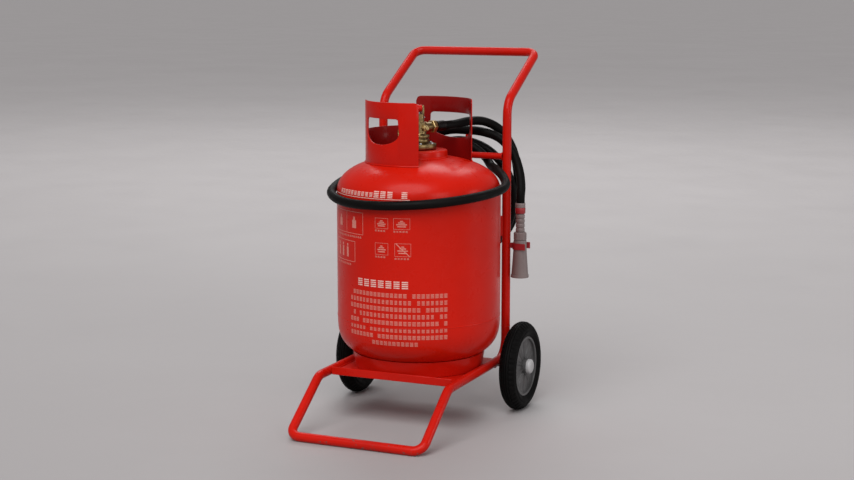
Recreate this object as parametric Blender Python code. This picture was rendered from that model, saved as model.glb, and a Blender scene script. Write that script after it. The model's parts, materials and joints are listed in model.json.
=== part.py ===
"""Wheeled dry-powder fire extinguisher: vessel, valve, hose, nozzle and two-wheel trolley."""
import math

import bmesh
import bpy
from mathutils import Matrix, Vector

# ---------------------------------------------------------------- dimensions (metres)
VESSEL_R = 0.200
WALL = 0.003
SHELL_LOW_Z = 0.250
SHELL_HIGH_Z = 0.550
TOP_DOME_H = 0.090
TOP_DOME_POWER = 2.3
LOW_DOME_H = 0.113
LOW_DOME_POWER = 3.05
NECK_HOLE_R = 0.0215

FRAME_X = 0.169
FRAME_R = 0.011
FRAME_BORE_R = 0.0085
UPRIGHT_Y = 0.157
UPRIGHT_SPLIT_Z = 0.200
ARM_BEND_Z = 0.7615
GRIP_Y = 0.363
GRIP_Z = 0.877
RAIL_Z = 0.121
RAIL_FRONT_Y = -0.212
FLOOR_BAR_Y = -0.363
CROSSBAR_Z = 0.628
CROSSBAR_R = 0.008

WHEEL_R = 0.110
WHEEL_X = 0.223
AXLE_Y = 0.121
AXLE_R = 0.008
TYRE_HALF = 0.0215
RIM_R = 0.0745

COLLAR_R = 0.128
COLLAR_BASE_Z = 0.6254
COLLAR_LOW_Z = 0.702
COLLAR_TOP_Z = 0.775
HAND_HOLE_TOP_Z = 0.736
HAND_HOLE_BOTTOM_Z = 0.674

OUTLET_Z = 0.7065
OUTLET_TURN = 158.0
GAUGE_TURN = -22.0
GAUGE_Z = 0.697
PLUG_TURN = 68.0
LEVER_TURN = 215.0
PIVOT_Z = 0.752

HOSE_R = 0.011
HOSE_STEP = 0.049
NOZZLE_X = 0.206
NOZZLE_CLIP_Z = 0.406
NOZZLE_TOP_Z = 0.514
GAP = 0.0003

# ---------------------------------------------------------------- colours (linear) and finishes
FINISHES = {
    "red_paint": ((0.60, 0.020, 0.012), 0.0, 0.35),
    "black_rubber": ((0.012, 0.012, 0.013), 0.0, 0.75),
    "grey_rim": ((0.09, 0.09, 0.10), 0.6, 0.45),
    "brass": ((0.62, 0.43, 0.17), 1.0, 0.35),
    "steel": ((0.55, 0.55, 0.56), 1.0, 0.35),
    "grey_plastic": ((0.35, 0.32, 0.33), 0.0, 0.45),
    "white": ((0.80, 0.80, 0.78), 0.0, 0.50),
    "clear": ((0.85, 0.88, 0.90), 0.0, 0.10),
    "bronze": ((0.45, 0.26, 0.10), 1.0, 0.45),
}


# ---------------------------------------------------------------- helpers
def clear_scene():
    for obj in list(bpy.data.objects):
        bpy.data.objects.remove(obj, do_unlink=True)


def make_material(piece, finish):
    colour, metallic, roughness = FINISHES[finish]
    mat = bpy.data.materials.new(piece + "_" + finish)
    mat.use_nodes = True
    shader = mat.node_tree.nodes["Principled BSDF"]
    shader.inputs["Base Color"].default_value = (*colour, 1.0)
    shader.inputs["Metallic"].default_value = metallic
    shader.inputs["Roughness"].default_value = roughness
    mat.diffuse_color = (*colour, 1.0)
    return mat


def add_object(name, bm, finish, matrix=None, origin=(0.0, 0.0, 0.0), smooth=True):
    """Turn a bmesh into an object: the matrix shapes it in place, the origin is its pivot."""
    if matrix is not None:
        bm.transform(matrix)
    bmesh.ops.recalc_face_normals(bm, faces=bm.faces)
    mesh = bpy.data.meshes.new(name)
    bm.to_mesh(mesh)
    bm.free()
    obj = bpy.data.objects.new(name, mesh)
    obj.location = origin
    bpy.context.scene.collection.objects.link(obj)
    obj.data.materials.append(make_material(name, finish))
    if smooth:
        obj.data.shade_smooth()
        obj.data.set_sharp_from_angle(angle=math.radians(35))
    return obj


def lathe(profile, segments, closed=True, wave=0.0):
    """Turn (radius, height) points round Z. A closed profile makes a ring with a bore."""
    bm = bmesh.new()
    rings = []
    for radius, height in profile:
        if radius <= 0.0:
            rings.append([bm.verts.new((0.0, 0.0, height))])
            continue
        ring = []
        for i in range(segments):
            angle = 2.0 * math.pi * i / segments
            r = radius + (wave if i % 2 else 0.0)
            ring.append(bm.verts.new((r * math.cos(angle), r * math.sin(angle), height)))
        rings.append(ring)
    pairs = list(zip(rings, rings[1:]))
    if closed:
        pairs.append((rings[-1], rings[0]))
    for low, high in pairs:
        join_rings(bm, low, high)
    return bm


def join_rings(bm, low, high):
    if len(low) == 1 and len(high) == 1:
        return
    count = max(len(low), len(high))
    for i in range(count):
        j = (i + 1) % count
        if len(low) == 1:
            bm.faces.new((low[0], high[i], high[j]))
        elif len(high) == 1:
            bm.faces.new((low[i], low[j], high[0]))
        else:
            bm.faces.new((low[i], low[j], high[j], high[i]))


def torus(radius, thickness, segments, sides):
    """Wire ring round Z."""
    profile = []
    for i in range(sides):
        angle = 2.0 * math.pi * i / sides
        profile.append((radius + thickness * math.cos(angle), thickness * math.sin(angle)))
    return lathe(profile, segments)


def washer(r_in, r_out, z0, z1, segments):
    return lathe([(r_in, z0), (r_out, z0), (r_out, z1), (r_in, z1)], segments)


def plug(r, z0, z1, segments):
    return lathe([(0.0, z0), (r, z0), (r, z1), (0.0, z1)], segments, closed=False)


def prism(outline, axis, low, high):
    """Extrude a closed outline along one axis ('x', 'y' or 'z')."""
    bm = bmesh.new()
    order = {"x": lambda a, b, h: (h, a, b), "y": lambda a, b, h: (a, h, b), "z": lambda a, b, h: (a, b, h)}
    place = order[axis]
    bottom = [bm.verts.new(place(a, b, low)) for a, b in outline]
    top = [bm.verts.new(place(a, b, high)) for a, b in outline]
    bm.faces.new(bottom)
    bm.faces.new(top)
    count = len(outline)
    for i in range(count):
        j = (i + 1) % count
        bm.faces.new((bottom[i], bottom[j], top[j], top[i]))
    return bm


def box(x0, x1, y0, y1, z0, z1):
    return prism([(x0, y0), (x1, y0), (x1, y1), (x0, y1)], "z", z0, z1)


def rounded_path(points, radii, arc_points=6):
    """Polyline through the points with each inner corner replaced by an arc."""
    points = [Vector(p) for p in points]
    path = [points[0]]
    for before, corner, after, radius in zip(points, points[1:], points[2:], radii):
        into = (before - corner).normalized()
        out = (after - corner).normalized()
        half = into.angle(out) / 2.0
        reach = radius / math.tan(half)
        centre = corner + (into + out).normalized() * (radius / math.sin(half))
        start = corner + into * reach - centre
        end = corner + out * reach - centre
        for i in range(arc_points):
            path.append(centre + start.slerp(end, i / (arc_points - 1)).normalized() * radius)
    path.append(points[-1])
    return path


def sweep(path, radius, sides, bore=0.0):
    """Tube along a path with flat ends; a bore makes it an open pipe."""
    bm = bmesh.new()
    tangents = []
    for i in range(len(path)):
        before = path[max(i - 1, 0)]
        after = path[min(i + 1, len(path) - 1)]
        tangents.append((after - before).normalized())
    normal = tangents[0].orthogonal().normalized()
    skins = [[] for _ in ((radius, bore) if bore else (radius,))]
    for point, tangent in zip(path, tangents):
        normal = (normal - tangent * normal.dot(tangent)).normalized()
        side = tangent.cross(normal)
        for skin, r in zip(skins, (radius, bore)):
            ring = []
            for i in range(sides):
                angle = 2.0 * math.pi * i / sides
                ring.append(bm.verts.new(point + (normal * math.cos(angle) + side * math.sin(angle)) * r))
            skin.append(ring)
    for skin in skins:
        for low, high in zip(skin, skin[1:]):
            join_rings(bm, low, high)
    for end in (0, -1):
        if bore:
            join_rings(bm, skins[0][end], skins[1][end])
        else:
            bm.faces.new(skins[0][end])
    return bm


def turn_direction(turn):
    """Unit vector at an angle from the front (-Y), positive toward +X."""
    angle = math.radians(turn)
    return Vector((math.sin(angle), -math.cos(angle), 0.0))


def along(turn, height, distance=0.0):
    """Matrix sending local +Z to the outward direction of a turn, at a height on the axis."""
    direction = turn_direction(turn)
    frame = Matrix((Vector((-direction.y, direction.x, 0.0)), Vector((0.0, 0.0, 1.0)), direction)).transposed()
    return Matrix.Translation(direction * distance + Vector((0, 0, height))) @ frame.to_4x4()


def lever_frame():
    """Local +X runs along the lever, +Y along its pivot, origin on the pivot."""
    direction = turn_direction(LEVER_TURN)
    return Matrix.Rotation(math.atan2(direction.y, direction.x), 4, "Z")


def cut(target, cutter):
    """Subtract a cutter object from a target with an exact Boolean."""
    cutter.hide_render = True
    cutter.display_type = "WIRE"
    modifier = target.modifiers.new("cut_" + cutter.name, "BOOLEAN")
    modifier.operation = "DIFFERENCE"
    modifier.solver = "EXACT"
    modifier.object = cutter


def fuse(target, tool):
    """Weld a tool object onto a target with an exact Boolean."""
    tool.hide_render = True
    tool.display_type = "WIRE"
    modifier = target.modifiers.new("fuse_" + tool.name, "BOOLEAN")
    modifier.operation = "UNION"
    modifier.solver = "EXACT"
    modifier.object = tool


def tool_object(name, bm, matrix=None, origin=(0.0, 0.0, 0.0)):
    return add_object(name, bm, "steel", matrix, origin, smooth=False)


# ---------------------------------------------------------------- vessel
def dome(r_max, base_z, height, power, steps, stop_r=0.0):
    """Superellipse dome from the wall inward, up for a positive height."""
    points = []
    last = math.pi / 2.0
    if stop_r > 0.0:
        last = math.acos((stop_r / r_max) ** (power / 2.0))
    for i in range(steps + 1):
        t = last * i / steps
        radius = r_max * math.cos(t) ** (2.0 / power) if i < steps or stop_r > 0.0 else 0.0
        points.append((radius, base_z + height * math.sin(t) ** (2.0 / power)))
    return points


def build_vessel():
    outer_top = dome(VESSEL_R, SHELL_HIGH_Z, TOP_DOME_H, TOP_DOME_POWER, 9, NECK_HOLE_R)
    outer_low = dome(VESSEL_R, SHELL_LOW_Z, -LOW_DOME_H, LOW_DOME_POWER, 8)
    inner_r = VESSEL_R - WALL
    inner_top = dome(inner_r, SHELL_HIGH_Z, TOP_DOME_H - WALL, TOP_DOME_POWER, 5, NECK_HOLE_R)
    inner_low = dome(inner_r, SHELL_LOW_Z, WALL - LOW_DOME_H, LOW_DOME_POWER, 5)
    profile = list(reversed(outer_low)) + outer_top + list(reversed(inner_top)) + inner_low
    add_object("vessel_shell", lathe(profile, 36, closed=False), "red_paint")

    ring = [(0.1600, 0.1596), (0.1628, 0.1596), (0.1565, 0.1216), (0.1537, 0.1216)]
    add_object("foot_ring", lathe(ring, 36), "red_paint")

    boss = [(0.0215, 0.6404), (0.0450, 0.6395), (0.0700, 0.6369), (0.0700, 0.6500),
            (0.0665, 0.6540), (0.0215, 0.6540)]
    add_object("neck_boss", lathe(boss, 28), "red_paint")
    add_object("dip_tube", lathe([(0.0068, 0.150), (0.0090, 0.150), (0.0090, 0.650), (0.0068, 0.650)], 12), "steel")


def hand_hole_bottom(turn, centre, half):
    """Rounded lower edge of a hand hole, meeting its short upright sides."""
    share = min(1.0, abs(turn - centre) / half)
    return COLLAR_LOW_Z - (COLLAR_LOW_Z - HAND_HOLE_BOTTOM_Z) * math.sqrt(max(0.0, 1.0 - share * share))


def build_collar():
    """One rolled sheet, open at the front right, cut low at the back left, with two hand holes."""
    turns = [114, 119, 125, 131, 138, 145, 152, 158, 164, 171, 178, 185, 191, 199, 207,
             221, 235, 249, 263, 278, 292, 301, 313, 317, 322, 330, 338, 346, 354, 359, 363, 373, 384]
    holes = ((158, 33), (338, 25))
    bm = bmesh.new()
    grid = {}

    def corner(turn, level):
        if (turn, level) not in grid:
            z = (COLLAR_BASE_Z, COLLAR_LOW_Z, HAND_HOLE_TOP_Z, COLLAR_TOP_Z)[level]
            for centre, half in holes:
                if level == 1 and abs(turn - centre) < half:
                    z = hand_hole_bottom(turn, centre, half)
            direction = turn_direction(turn)
            grid[(turn, level)] = bm.verts.new((direction.x * COLLAR_R, direction.y * COLLAR_R, z))
        return grid[(turn, level)]

    for start, end in zip(turns, turns[1:]):
        middle = (start + end) / 2.0
        low_wall = 207 < middle < 292
        in_hole = any(abs(middle - centre) < half for centre, half in holes)
        for level in range(3):
            if level > 0 and low_wall or level == 1 and in_hole:
                continue
            bm.faces.new((corner(start, level), corner(end, level), corner(end, level + 1), corner(start, level + 1)))
    collar = add_object("guard_collar", bm, "red_paint")
    thick = collar.modifiers.new("thickness", "SOLIDIFY")
    thick.thickness = 0.003
    thick.offset = 0.0
    thick.use_even_offset = True


# ---------------------------------------------------------------- valve
def build_valve():
    body_profile = [
        (0.0094, 0.6300), (0.0205, 0.6300), (0.0205, 0.6556), (0.0400, 0.6556), (0.0430, 0.6580),
        (0.0430, 0.6660), (0.0400, 0.6685), (0.0200, 0.6690), (0.0200, 0.6710), (0.0260, 0.6720),
        (0.0260, 0.6790), (0.0215, 0.6800), (0.0215, 0.6820), (0.0260, 0.6830), (0.0260, 0.6890),
        (0.0180, 0.6910), (0.0180, 0.7200), (0.0055, 0.7200), (0.0055, 0.6506), (0.0094, 0.6506),
    ]
    body = add_object("valve_body", lathe(body_profile, 24), "brass")
    outlet = tool_object("tool_outlet", plug(0.0115, 0.008, 0.0400, 16), along(OUTLET_TURN, OUTLET_Z))
    gauge_port = tool_object("tool_gauge_port", plug(0.0065, 0.008, 0.0300, 12), along(GAUGE_TURN, GAUGE_Z))
    outlet_bore = tool_object("tool_outlet_bore", plug(0.0060, 0.000, 0.0450, 12), along(OUTLET_TURN, OUTLET_Z))
    gauge_bore = tool_object("tool_gauge_bore", plug(0.0020, 0.000, 0.0350, 8), along(GAUGE_TURN, GAUGE_Z))
    plug_bore = tool_object("tool_plug_bore", plug(0.0035, 0.010, 0.0300, 8), along(PLUG_TURN, 0.7065))
    for tool in (outlet, gauge_port):
        fuse(body, tool)
    for tool in (outlet_bore, gauge_bore, plug_bore):
        cut(body, tool)
    add_object("valve_gasket", washer(0.0215, 0.0360, 0.6543, 0.6553, 24), "black_rubber")

    nut = [(0.0064, 0.0404), (0.0140, 0.0404), (0.0165, 0.0420), (0.0165, 0.0520), (0.0140, 0.0536), (0.0064, 0.0536)]
    add_object("outlet_union_nut", lathe(nut, 6), "brass", along(OUTLET_TURN, OUTLET_Z), smooth=False)
    ferrule = [(0.0064, 0.0540), (0.0100, 0.0540), (0.0100, 0.0580), (0.0128, 0.0590), (0.0128, 0.0840), (0.0064, 0.0840)]
    add_object("hose_ferrule", lathe(ferrule, 16), "steel", along(OUTLET_TURN, OUTLET_Z))

    relief = [(0.0, 0.0120), (0.0032, 0.0120), (0.0032, 0.0184), (0.0085, 0.0184), (0.0085, 0.0260),
              (0.0055, 0.0270), (0.0055, 0.0310), (0.0, 0.0310)]
    add_object("relief_plug", lathe(relief, 6, closed=False), "brass", along(PLUG_TURN, 0.7065), smooth=False)
    build_gauge()
    build_bonnet()


def build_gauge():
    frame = along(GAUGE_TURN, GAUGE_Z)
    case = [(0.0, 0.0303), (0.0065, 0.0303), (0.0065, 0.0400), (0.0170, 0.0420), (0.0180, 0.0440), (0.0180, 0.0540),
            (0.0160, 0.0540), (0.0160, 0.0450), (0.0, 0.0450)]
    add_object("gauge_case", lathe(case, 20, closed=False), "brass", frame)
    add_object("gauge_dial", plug(0.0156, 0.0453, 0.0460, 20), "white", frame)
    centre = frame @ Vector((0.0, 0.0, 0.0))
    needle = prism([(-0.0012, -0.0035), (0.0012, -0.0035), (0.0004, 0.0120), (-0.0004, 0.0120)], "z", 0.0466, 0.0474)
    needle.transform(frame.to_3x3().to_4x4())
    add_object("gauge_needle", needle, "black_rubber", None, centre, smooth=False)
    add_object("gauge_lens", plug(0.0157, 0.0500, 0.0520, 20), "clear", frame)


def build_bonnet():
    turn = lever_frame()
    base = Matrix.Translation((0.0, 0.0, PIVOT_Z)) @ turn
    bonnet = add_object("valve_bonnet", washer(0.0054, 0.0130, 0.7203, 0.7400, 24), "brass")
    for side in (-1, 1):
        cheek = [(-0.009, -0.0125), (0.009, -0.0125), (0.009, 0.0040), (0.005, 0.0085), (-0.005, 0.0085), (-0.009, 0.0040)]
        low, high = sorted((side * 0.0076, side * 0.0118))
        fuse(bonnet, tool_object("tool_cheek_%s" % ("a" if side < 0 else "b"), prism(cheek, "y", low, high), base))
    pin_axis = Matrix.Rotation(math.radians(-90), 4, "X")
    cut(bonnet, tool_object("tool_pivot_hole", plug(0.0028, -0.015, 0.015, 10), base @ pin_axis))
    pin_base = Matrix.Translation((0.0, 0.0, 0.7310)) @ turn @ pin_axis
    cut(bonnet, tool_object("tool_pin_hole", plug(0.0016, -0.020, 0.020, 8), pin_base))

    add_object("lever_pivot_pin", plug(0.0025, -0.0125, 0.0125, 10), "steel", base @ pin_axis)

    stem = add_object("valve_stem", plug(0.0050, -0.0500, -0.0073, 12), "steel", turn, (0.0, 0.0, PIVOT_Z))
    slot = tool_object("tool_stem_slot", box(-0.0016, 0.0016, -0.010, 0.010, -0.0232, -0.0158), turn,
                       (0.0, 0.0, PIVOT_Z))
    cut(stem, slot)
    build_lever(turn, pin_axis)
    build_safety_pin(turn, pin_axis)


def build_lever(turn, pin_axis):
    origin = (0.0, 0.0, PIVOT_Z)
    offset = 0.0022 * math.sqrt(0.5)
    cam = Matrix.Translation((-offset, 0.0, offset)) @ pin_axis
    lever = add_object("valve_lever", plug(0.0085, -0.0070, 0.0070, 20), "red_paint", turn @ cam, origin)
    outline = [(0.0030, -0.0062), (0.0180, -0.0062), (0.0260, -0.0100), (0.0760, -0.0110), (0.0850, -0.0070),
               (0.0850, 0.0070), (0.0760, 0.0110), (0.0260, 0.0100), (0.0180, 0.0062), (0.0030, 0.0062)]
    fuse(lever, tool_object("tool_lever_arm", prism(outline, "z", -0.0005, 0.0060), turn, origin))
    cut(lever, tool_object("tool_lever_bore", plug(0.0028, -0.015, 0.015, 10), turn @ pin_axis, origin))


def build_safety_pin(turn, pin_axis):
    origin = (0.0, 0.0, 0.7310)
    shaft = [(0.0, -0.0165), (0.0012, -0.0155), (0.0012, 0.0150), (0.0030, 0.0155), (0.0030, 0.0175),
             (0.0012, 0.0180), (0.0012, 0.0250), (0.0030, 0.0255), (0.0030, 0.0270), (0.0, 0.0270)]
    add_object("safety_pin", lathe(shaft, 8, closed=False), "steel", turn @ pin_axis, origin)
    hang = Matrix.Translation((0.0, 0.0215, -0.0067)) @ pin_axis
    add_object("pull_ring", torus(0.0095, 0.0012, 16, 6), "steel", turn @ hang, origin)


# ---------------------------------------------------------------- trolley frame
def build_frame():
    x = FRAME_X
    bow = rounded_path([(-x, UPRIGHT_Y, UPRIGHT_SPLIT_Z), (-x, UPRIGHT_Y, ARM_BEND_Z), (-x, GRIP_Y, GRIP_Z),
                        (x, GRIP_Y, GRIP_Z), (x, UPRIGHT_Y, ARM_BEND_Z), (x, UPRIGHT_Y, UPRIGHT_SPLIT_Z)],
                       [0.055, 0.026, 0.026, 0.055], 5)
    add_object("handle_bow", sweep(bow, FRAME_R, 12, FRAME_BORE_R), "red_paint")

    end_z = UPRIGHT_SPLIT_Z - GAP
    floor_z = FRAME_R
    loop = rounded_path([(-x, UPRIGHT_Y, end_z), (-x, UPRIGHT_Y, RAIL_Z), (-x, RAIL_FRONT_Y, RAIL_Z),
                         (-x, FLOOR_BAR_Y, floor_z), (x, FLOOR_BAR_Y, floor_z), (x, RAIL_FRONT_Y, RAIL_Z),
                         (x, UPRIGHT_Y, RAIL_Z), (x, UPRIGHT_Y, end_z)],
                        [0.050, 0.045, 0.026, 0.026, 0.045, 0.050], 5)
    foot_loop = add_object("foot_loop", sweep(loop, FRAME_R, 12, FRAME_BORE_R), "red_paint")
    to_x = Matrix.Rotation(math.radians(90), 4, "Y")
    saddle = Matrix.Translation((0.0, AXLE_Y, WHEEL_R)) @ to_x
    cut(foot_loop, tool_object("tool_axle_saddle", plug(AXLE_R + 0.0004, -0.195, 0.195, 16), saddle))

    bar = Matrix.Translation((0.0, UPRIGHT_Y, CROSSBAR_Z)) @ to_x
    half = FRAME_X - FRAME_R - GAP
    add_object("crossbar", washer(0.0062, CROSSBAR_R, -half, half, 12), "red_paint", bar)
    axle_tube = Matrix.Translation((0.0, AXLE_Y, WHEEL_R)) @ to_x
    add_object("axle_tube", washer(AXLE_R + GAP, 0.0110, -half, half, 16), "red_paint", axle_tube)

    plate = [(-0.1665, 0.1140), (-0.1635, 0.1140), (-0.1635, 0.1183), (0.1115, 0.1183), (0.1115, 0.1213),
             (-0.1635, 0.1213), (-0.1635, 0.1330), (-0.1665, 0.1330)]
    add_object("base_plate", prism(plate, "x", -half, half), "red_paint", smooth=False)
    for side, name in ((-1, "left"), (1, "right")):
        build_bracket(side, name)

    hook = rounded_path([(0.020, 0.1656, 0.6310), (0.020, 0.1720, 0.6380), (0.020, 0.2600, 0.6380),
                         (0.020, 0.2640, 0.6900)], [0.006, 0.012], 3)
    add_object("hose_hook", sweep(hook, 0.005, 8), "red_paint")
    build_nozzle_clip()


def build_bracket(side, name):
    """Welded web between the vessel wall and an upright, hollowed to fit both."""
    upright = Vector((side * FRAME_X, UPRIGHT_Y))
    out = upright.normalized()
    across = Vector((-out.y, out.x))
    outline = []
    for offset in (-0.004, 0.0, 0.004):
        reach = math.sqrt((VESSEL_R + 0.0006) ** 2 - offset ** 2)
        outline.append(out * reach + across * offset)
    for offset in (0.004, 0.0, -0.004):
        reach = upright.length - math.sqrt((FRAME_R + 0.0005) ** 2 - offset ** 2)
        outline.append(out * reach + across * offset)
    add_object("vessel_bracket_" + name, prism([tuple(p) for p in outline], "z", 0.430, 0.480), "red_paint",
               smooth=False)


def build_nozzle_clip():
    """U-shaped spring clip on a short arm; the open side faces away from the trolley."""
    x, y = NOZZLE_X, UPRIGHT_Y
    inner, outer = 0.0172, 0.0190
    outline = [(x + 0.020, y - outer)]
    outline += [(x - outer * math.sin(a), y - outer * math.cos(a)) for a in (math.pi * i / 8 for i in range(9))]
    outline += [(x + 0.020, y + outer), (x + 0.020, y + inner)]
    outline += [(x - inner * math.sin(a), y + inner * math.cos(a)) for a in (math.pi * i / 8 for i in range(9))]
    outline += [(x + 0.020, y - inner)]
    clip = add_object("nozzle_clip", prism(outline, "z", NOZZLE_CLIP_Z - 0.008, NOZZLE_CLIP_Z + 0.008), "red_paint")
    arm = box(FRAME_X + FRAME_R + 0.0004, x - 0.0178, y - 0.006, y + 0.006, NOZZLE_CLIP_Z - 0.006, NOZZLE_CLIP_Z + 0.006)
    fuse(clip, tool_object("tool_clip_arm", arm))


# ---------------------------------------------------------------- wheels
def build_wheels():
    to_x = Matrix.Rotation(math.radians(90), 4, "Y")
    add_object("axle_rod", plug(AXLE_R, -0.2500, 0.2500, 16), "steel",
               Matrix.Translation((0.0, AXLE_Y, WHEEL_R)) @ to_x)
    for side, name in ((-1, "left"), (1, "right")):
        origin = (side * WHEEL_X, AXLE_Y, WHEEL_R)
        outward = to_x if side > 0 else Matrix.Rotation(math.radians(-90), 4, "Y")
        inner, w = RIM_R + GAP, TYRE_HALF
        tyre = [(inner, -0.0165), (0.0880, -w), (0.0985, -0.0190), (0.1060, -0.0125), (0.1100, -0.0050),
                (0.1100, 0.0050), (0.1060, 0.0125), (0.0985, 0.0190), (0.0880, w), (inner, 0.0165)]
        add_object("tyre_" + name, lathe(tyre, 36), "black_rubber", outward, origin)
        rim_profile = [(0.0, -0.0200), (0.0190, -0.0200), (0.0190, -0.0080), (0.0660, -0.0080), (0.0690, -0.0160),
                       (RIM_R, -0.0160), (RIM_R, 0.0160), (0.0690, 0.0160), (0.0660, 0.0080), (0.0190, 0.0080),
                       (0.0190, 0.0200), (0.0, 0.0200)]
        rim = add_object("rim_" + name, lathe(rim_profile, 28, closed=False), "grey_rim", outward, origin)
        for i in range(5):
            ribs = box(-0.0705, 0.0705, -0.0013, 0.0013, -0.0110, 0.0110)
            spin = Matrix.Rotation(math.pi * (i + 0.5) / 5, 4, "Z")
            fuse(rim, tool_object("tool_ribs_%s_%d" % (name, i), ribs, outward @ spin, origin))
        cut(rim, tool_object("tool_hub_bore_" + name, plug(0.0113, -0.03, 0.03, 28), outward, origin))
        add_object("wheel_bush_" + name, washer(AXLE_R + GAP, 0.0110, -0.0205, 0.0205, 14), "bronze", outward, origin)
        add_object("inner_washer_" + name, washer(AXLE_R + GAP, 0.0150, -0.0232, -0.0210, 16), "steel", outward, origin)
        add_object("axle_nut_" + name, washer(AXLE_R + 0.0018, 0.0130, 0.0210, 0.0262, 6), "steel", outward, origin,
                   smooth=False)
        cap = [(0.0146, 0.0203), (0.0180, 0.0203), (0.0180, 0.0270), (0.0140, 0.0310), (0.0, 0.0320), (0.0, 0.0300),
               (0.0135, 0.0290), (0.0146, 0.0275)]
        add_object("hub_cap_" + name, cap_mesh(cap), "grey_plastic", outward, origin)


def cap_mesh(profile):
    """Round cup: an outline running from the rim over the outside and back inside."""
    bm = lathe(profile, 20, closed=False)
    rings = [[v for v in bm.verts if abs(v.co.z - z) < 1e-6 and abs(v.co.to_2d().length - r) < 1e-5]
             for r, z in (profile[-1], profile[0])]
    ordered = [sorted(ring, key=lambda v: math.atan2(v.co.y, v.co.x) % (2.0 * math.pi)) for ring in rings]
    join_rings(bm, ordered[0], ordered[1])
    return bm


# ---------------------------------------------------------------- nozzle and hose
def build_nozzle():
    origin = (NOZZLE_X, UPRIGHT_Y, NOZZLE_CLIP_Z)

    def ring(name, profile, segments, finish, wave=0.0):
        shifted = [(r, z - NOZZLE_CLIP_Z) for r, z in profile]
        return add_object(name, lathe(shifted, segments, wave=wave), finish, None, origin)

    ring("nozzle_ferrule", [(0.0060, 0.5027), (0.0125, 0.5027), (0.0125, 0.5130), (0.0115, NOZZLE_TOP_Z),
                            (0.0060, NOZZLE_TOP_Z)], 20, "steel")
    ring("nozzle_band", [(0.0060, 0.4876), (0.0120, 0.4876), (0.0127, 0.4890), (0.0127, 0.5010), (0.0120, 0.5024),
                         (0.0060, 0.5024)], 20, "red_paint")
    grip = [(0.0060, 0.4415)]
    for i in range(4):
        z = 0.4415 + i * 0.0114
        grip += [(0.0100, z), (0.0112, z + 0.0020), (0.0112, z + 0.0075), (0.0100, z + 0.0095)]
    grip.append((0.0100, 0.4873))
    grip.append((0.0060, 0.4873))
    ring("nozzle_grip", grip, 14, "grey_plastic")
    ring("shutoff_sleeve", [(0.0060, 0.4213), (0.0145, 0.4213), (0.0155, 0.4225), (0.0155, 0.4385), (0.0130, 0.4412),
                            (0.0060, 0.4412)], 24, "grey_plastic", wave=0.0005)
    ring("nozzle_horn", [(0.0060, 0.4200), (0.0060, 0.4210), (0.0150, 0.4210), (0.0163, 0.4180), (0.0165, 0.4000),
                         (0.0210, 0.3340), (0.0225, 0.3330), (0.0225, 0.3270), (0.0200, 0.3270), (0.0145, 0.4000),
                         (0.0130, 0.4150)], 24, "grey_plastic")


def coil_point(angle, depth, radius=0.145):
    """Point of the hanging coil, clockwise from the top as seen from the front."""
    a = math.radians(angle)
    return (0.020 + radius * math.sin(a), depth, 0.512 + radius * math.cos(a))


def wrap_point(turn, height, radius=0.2133):
    direction = turn_direction(turn)
    return (direction.x * radius, direction.y * radius, height)


def hose_route():
    start = turn_direction(OUTLET_TURN)
    route = [tuple(start * 0.0993 + Vector((0, 0, OUTLET_Z))), tuple(start * 0.128 + Vector((0, 0, OUTLET_Z + 0.001)))]
    route += [(0.066, 0.160, 0.7120), (0.093, 0.195, 0.7095), (0.124, 0.221, 0.6890), (0.150, 0.236, 0.648),
              (0.165, 0.2405, 0.590)]
    depths = [0.2410, 0.2410, 0.2405, 0.2395, 0.2375, 0.2345, 0.2310, 0.2275, 0.2235, 0.2195, 0.2170, 0.2165,
              0.2165, 0.2160, 0.2145, 0.2125, 0.2105, 0.2085, 0.2050, 0.1985, 0.1910]
    route += [coil_point(90 + 30 * i, depth) for i, depth in enumerate(depths)]
    route += [(0.020, 0.1870, 0.6570), (0.064, 0.1865, 0.6460), (0.100, 0.1845, 0.6220), (0.124, 0.1630, 0.6035),
              (0.150, 0.1310, 0.5980), (0.182, 0.0930, 0.5880)]
    route += [wrap_point(104, 0.573), wrap_point(90, 0.565), wrap_point(60, 0.557), wrap_point(30, 0.548),
              wrap_point(0, 0.542), wrap_point(-30, 0.541), wrap_point(-60, 0.550), wrap_point(-90, 0.563),
              wrap_point(-104, 0.573)]
    route += [(-0.182, 0.0930, 0.5890), (-0.150, 0.1310, 0.5990), (-0.127, 0.1610, 0.6030), (-0.108, 0.1905, 0.6280),
              (-0.065, 0.2110, 0.6650), (-0.010, 0.2160, 0.6825), (0.040, 0.2100, 0.6845), (0.090, 0.2010, 0.6820),
              (0.137, 0.1930, 0.6680), (0.174, 0.1880, 0.6330), (0.195, 0.1780, 0.5890), (0.205, 0.1640, 0.5510),
              (NOZZLE_X, UPRIGHT_Y, NOZZLE_TOP_Z + 0.015)]
    return [Vector(p) for p in route]


def smooth_curve(points, steps=12):
    """Centripetal Catmull-Rom curve through the points."""
    pts = [points[0] * 2 - points[1]] + points + [points[-1] * 2 - points[-2]]
    curve = []
    for p0, p1, p2, p3 in zip(pts, pts[1:], pts[2:], pts[3:]):
        t1 = (p1 - p0).length ** 0.5
        t2 = t1 + (p2 - p1).length ** 0.5
        t3 = t2 + (p3 - p2).length ** 0.5
        for i in range(steps):
            t = t1 + (t2 - t1) * i / steps
            a1 = p0.lerp(p1, t / t1)
            a2 = p1.lerp(p2, (t - t1) / (t2 - t1))
            a3 = p2.lerp(p3, (t - t2) / (t3 - t2))
            b1 = a1.lerp(a2, t / t2)
            b2 = a2.lerp(a3, (t - t1) / (t3 - t1))
            curve.append(b1.lerp(b2, (t - t1) / (t2 - t1)))
    curve.append(points[-1])
    return curve


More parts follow.
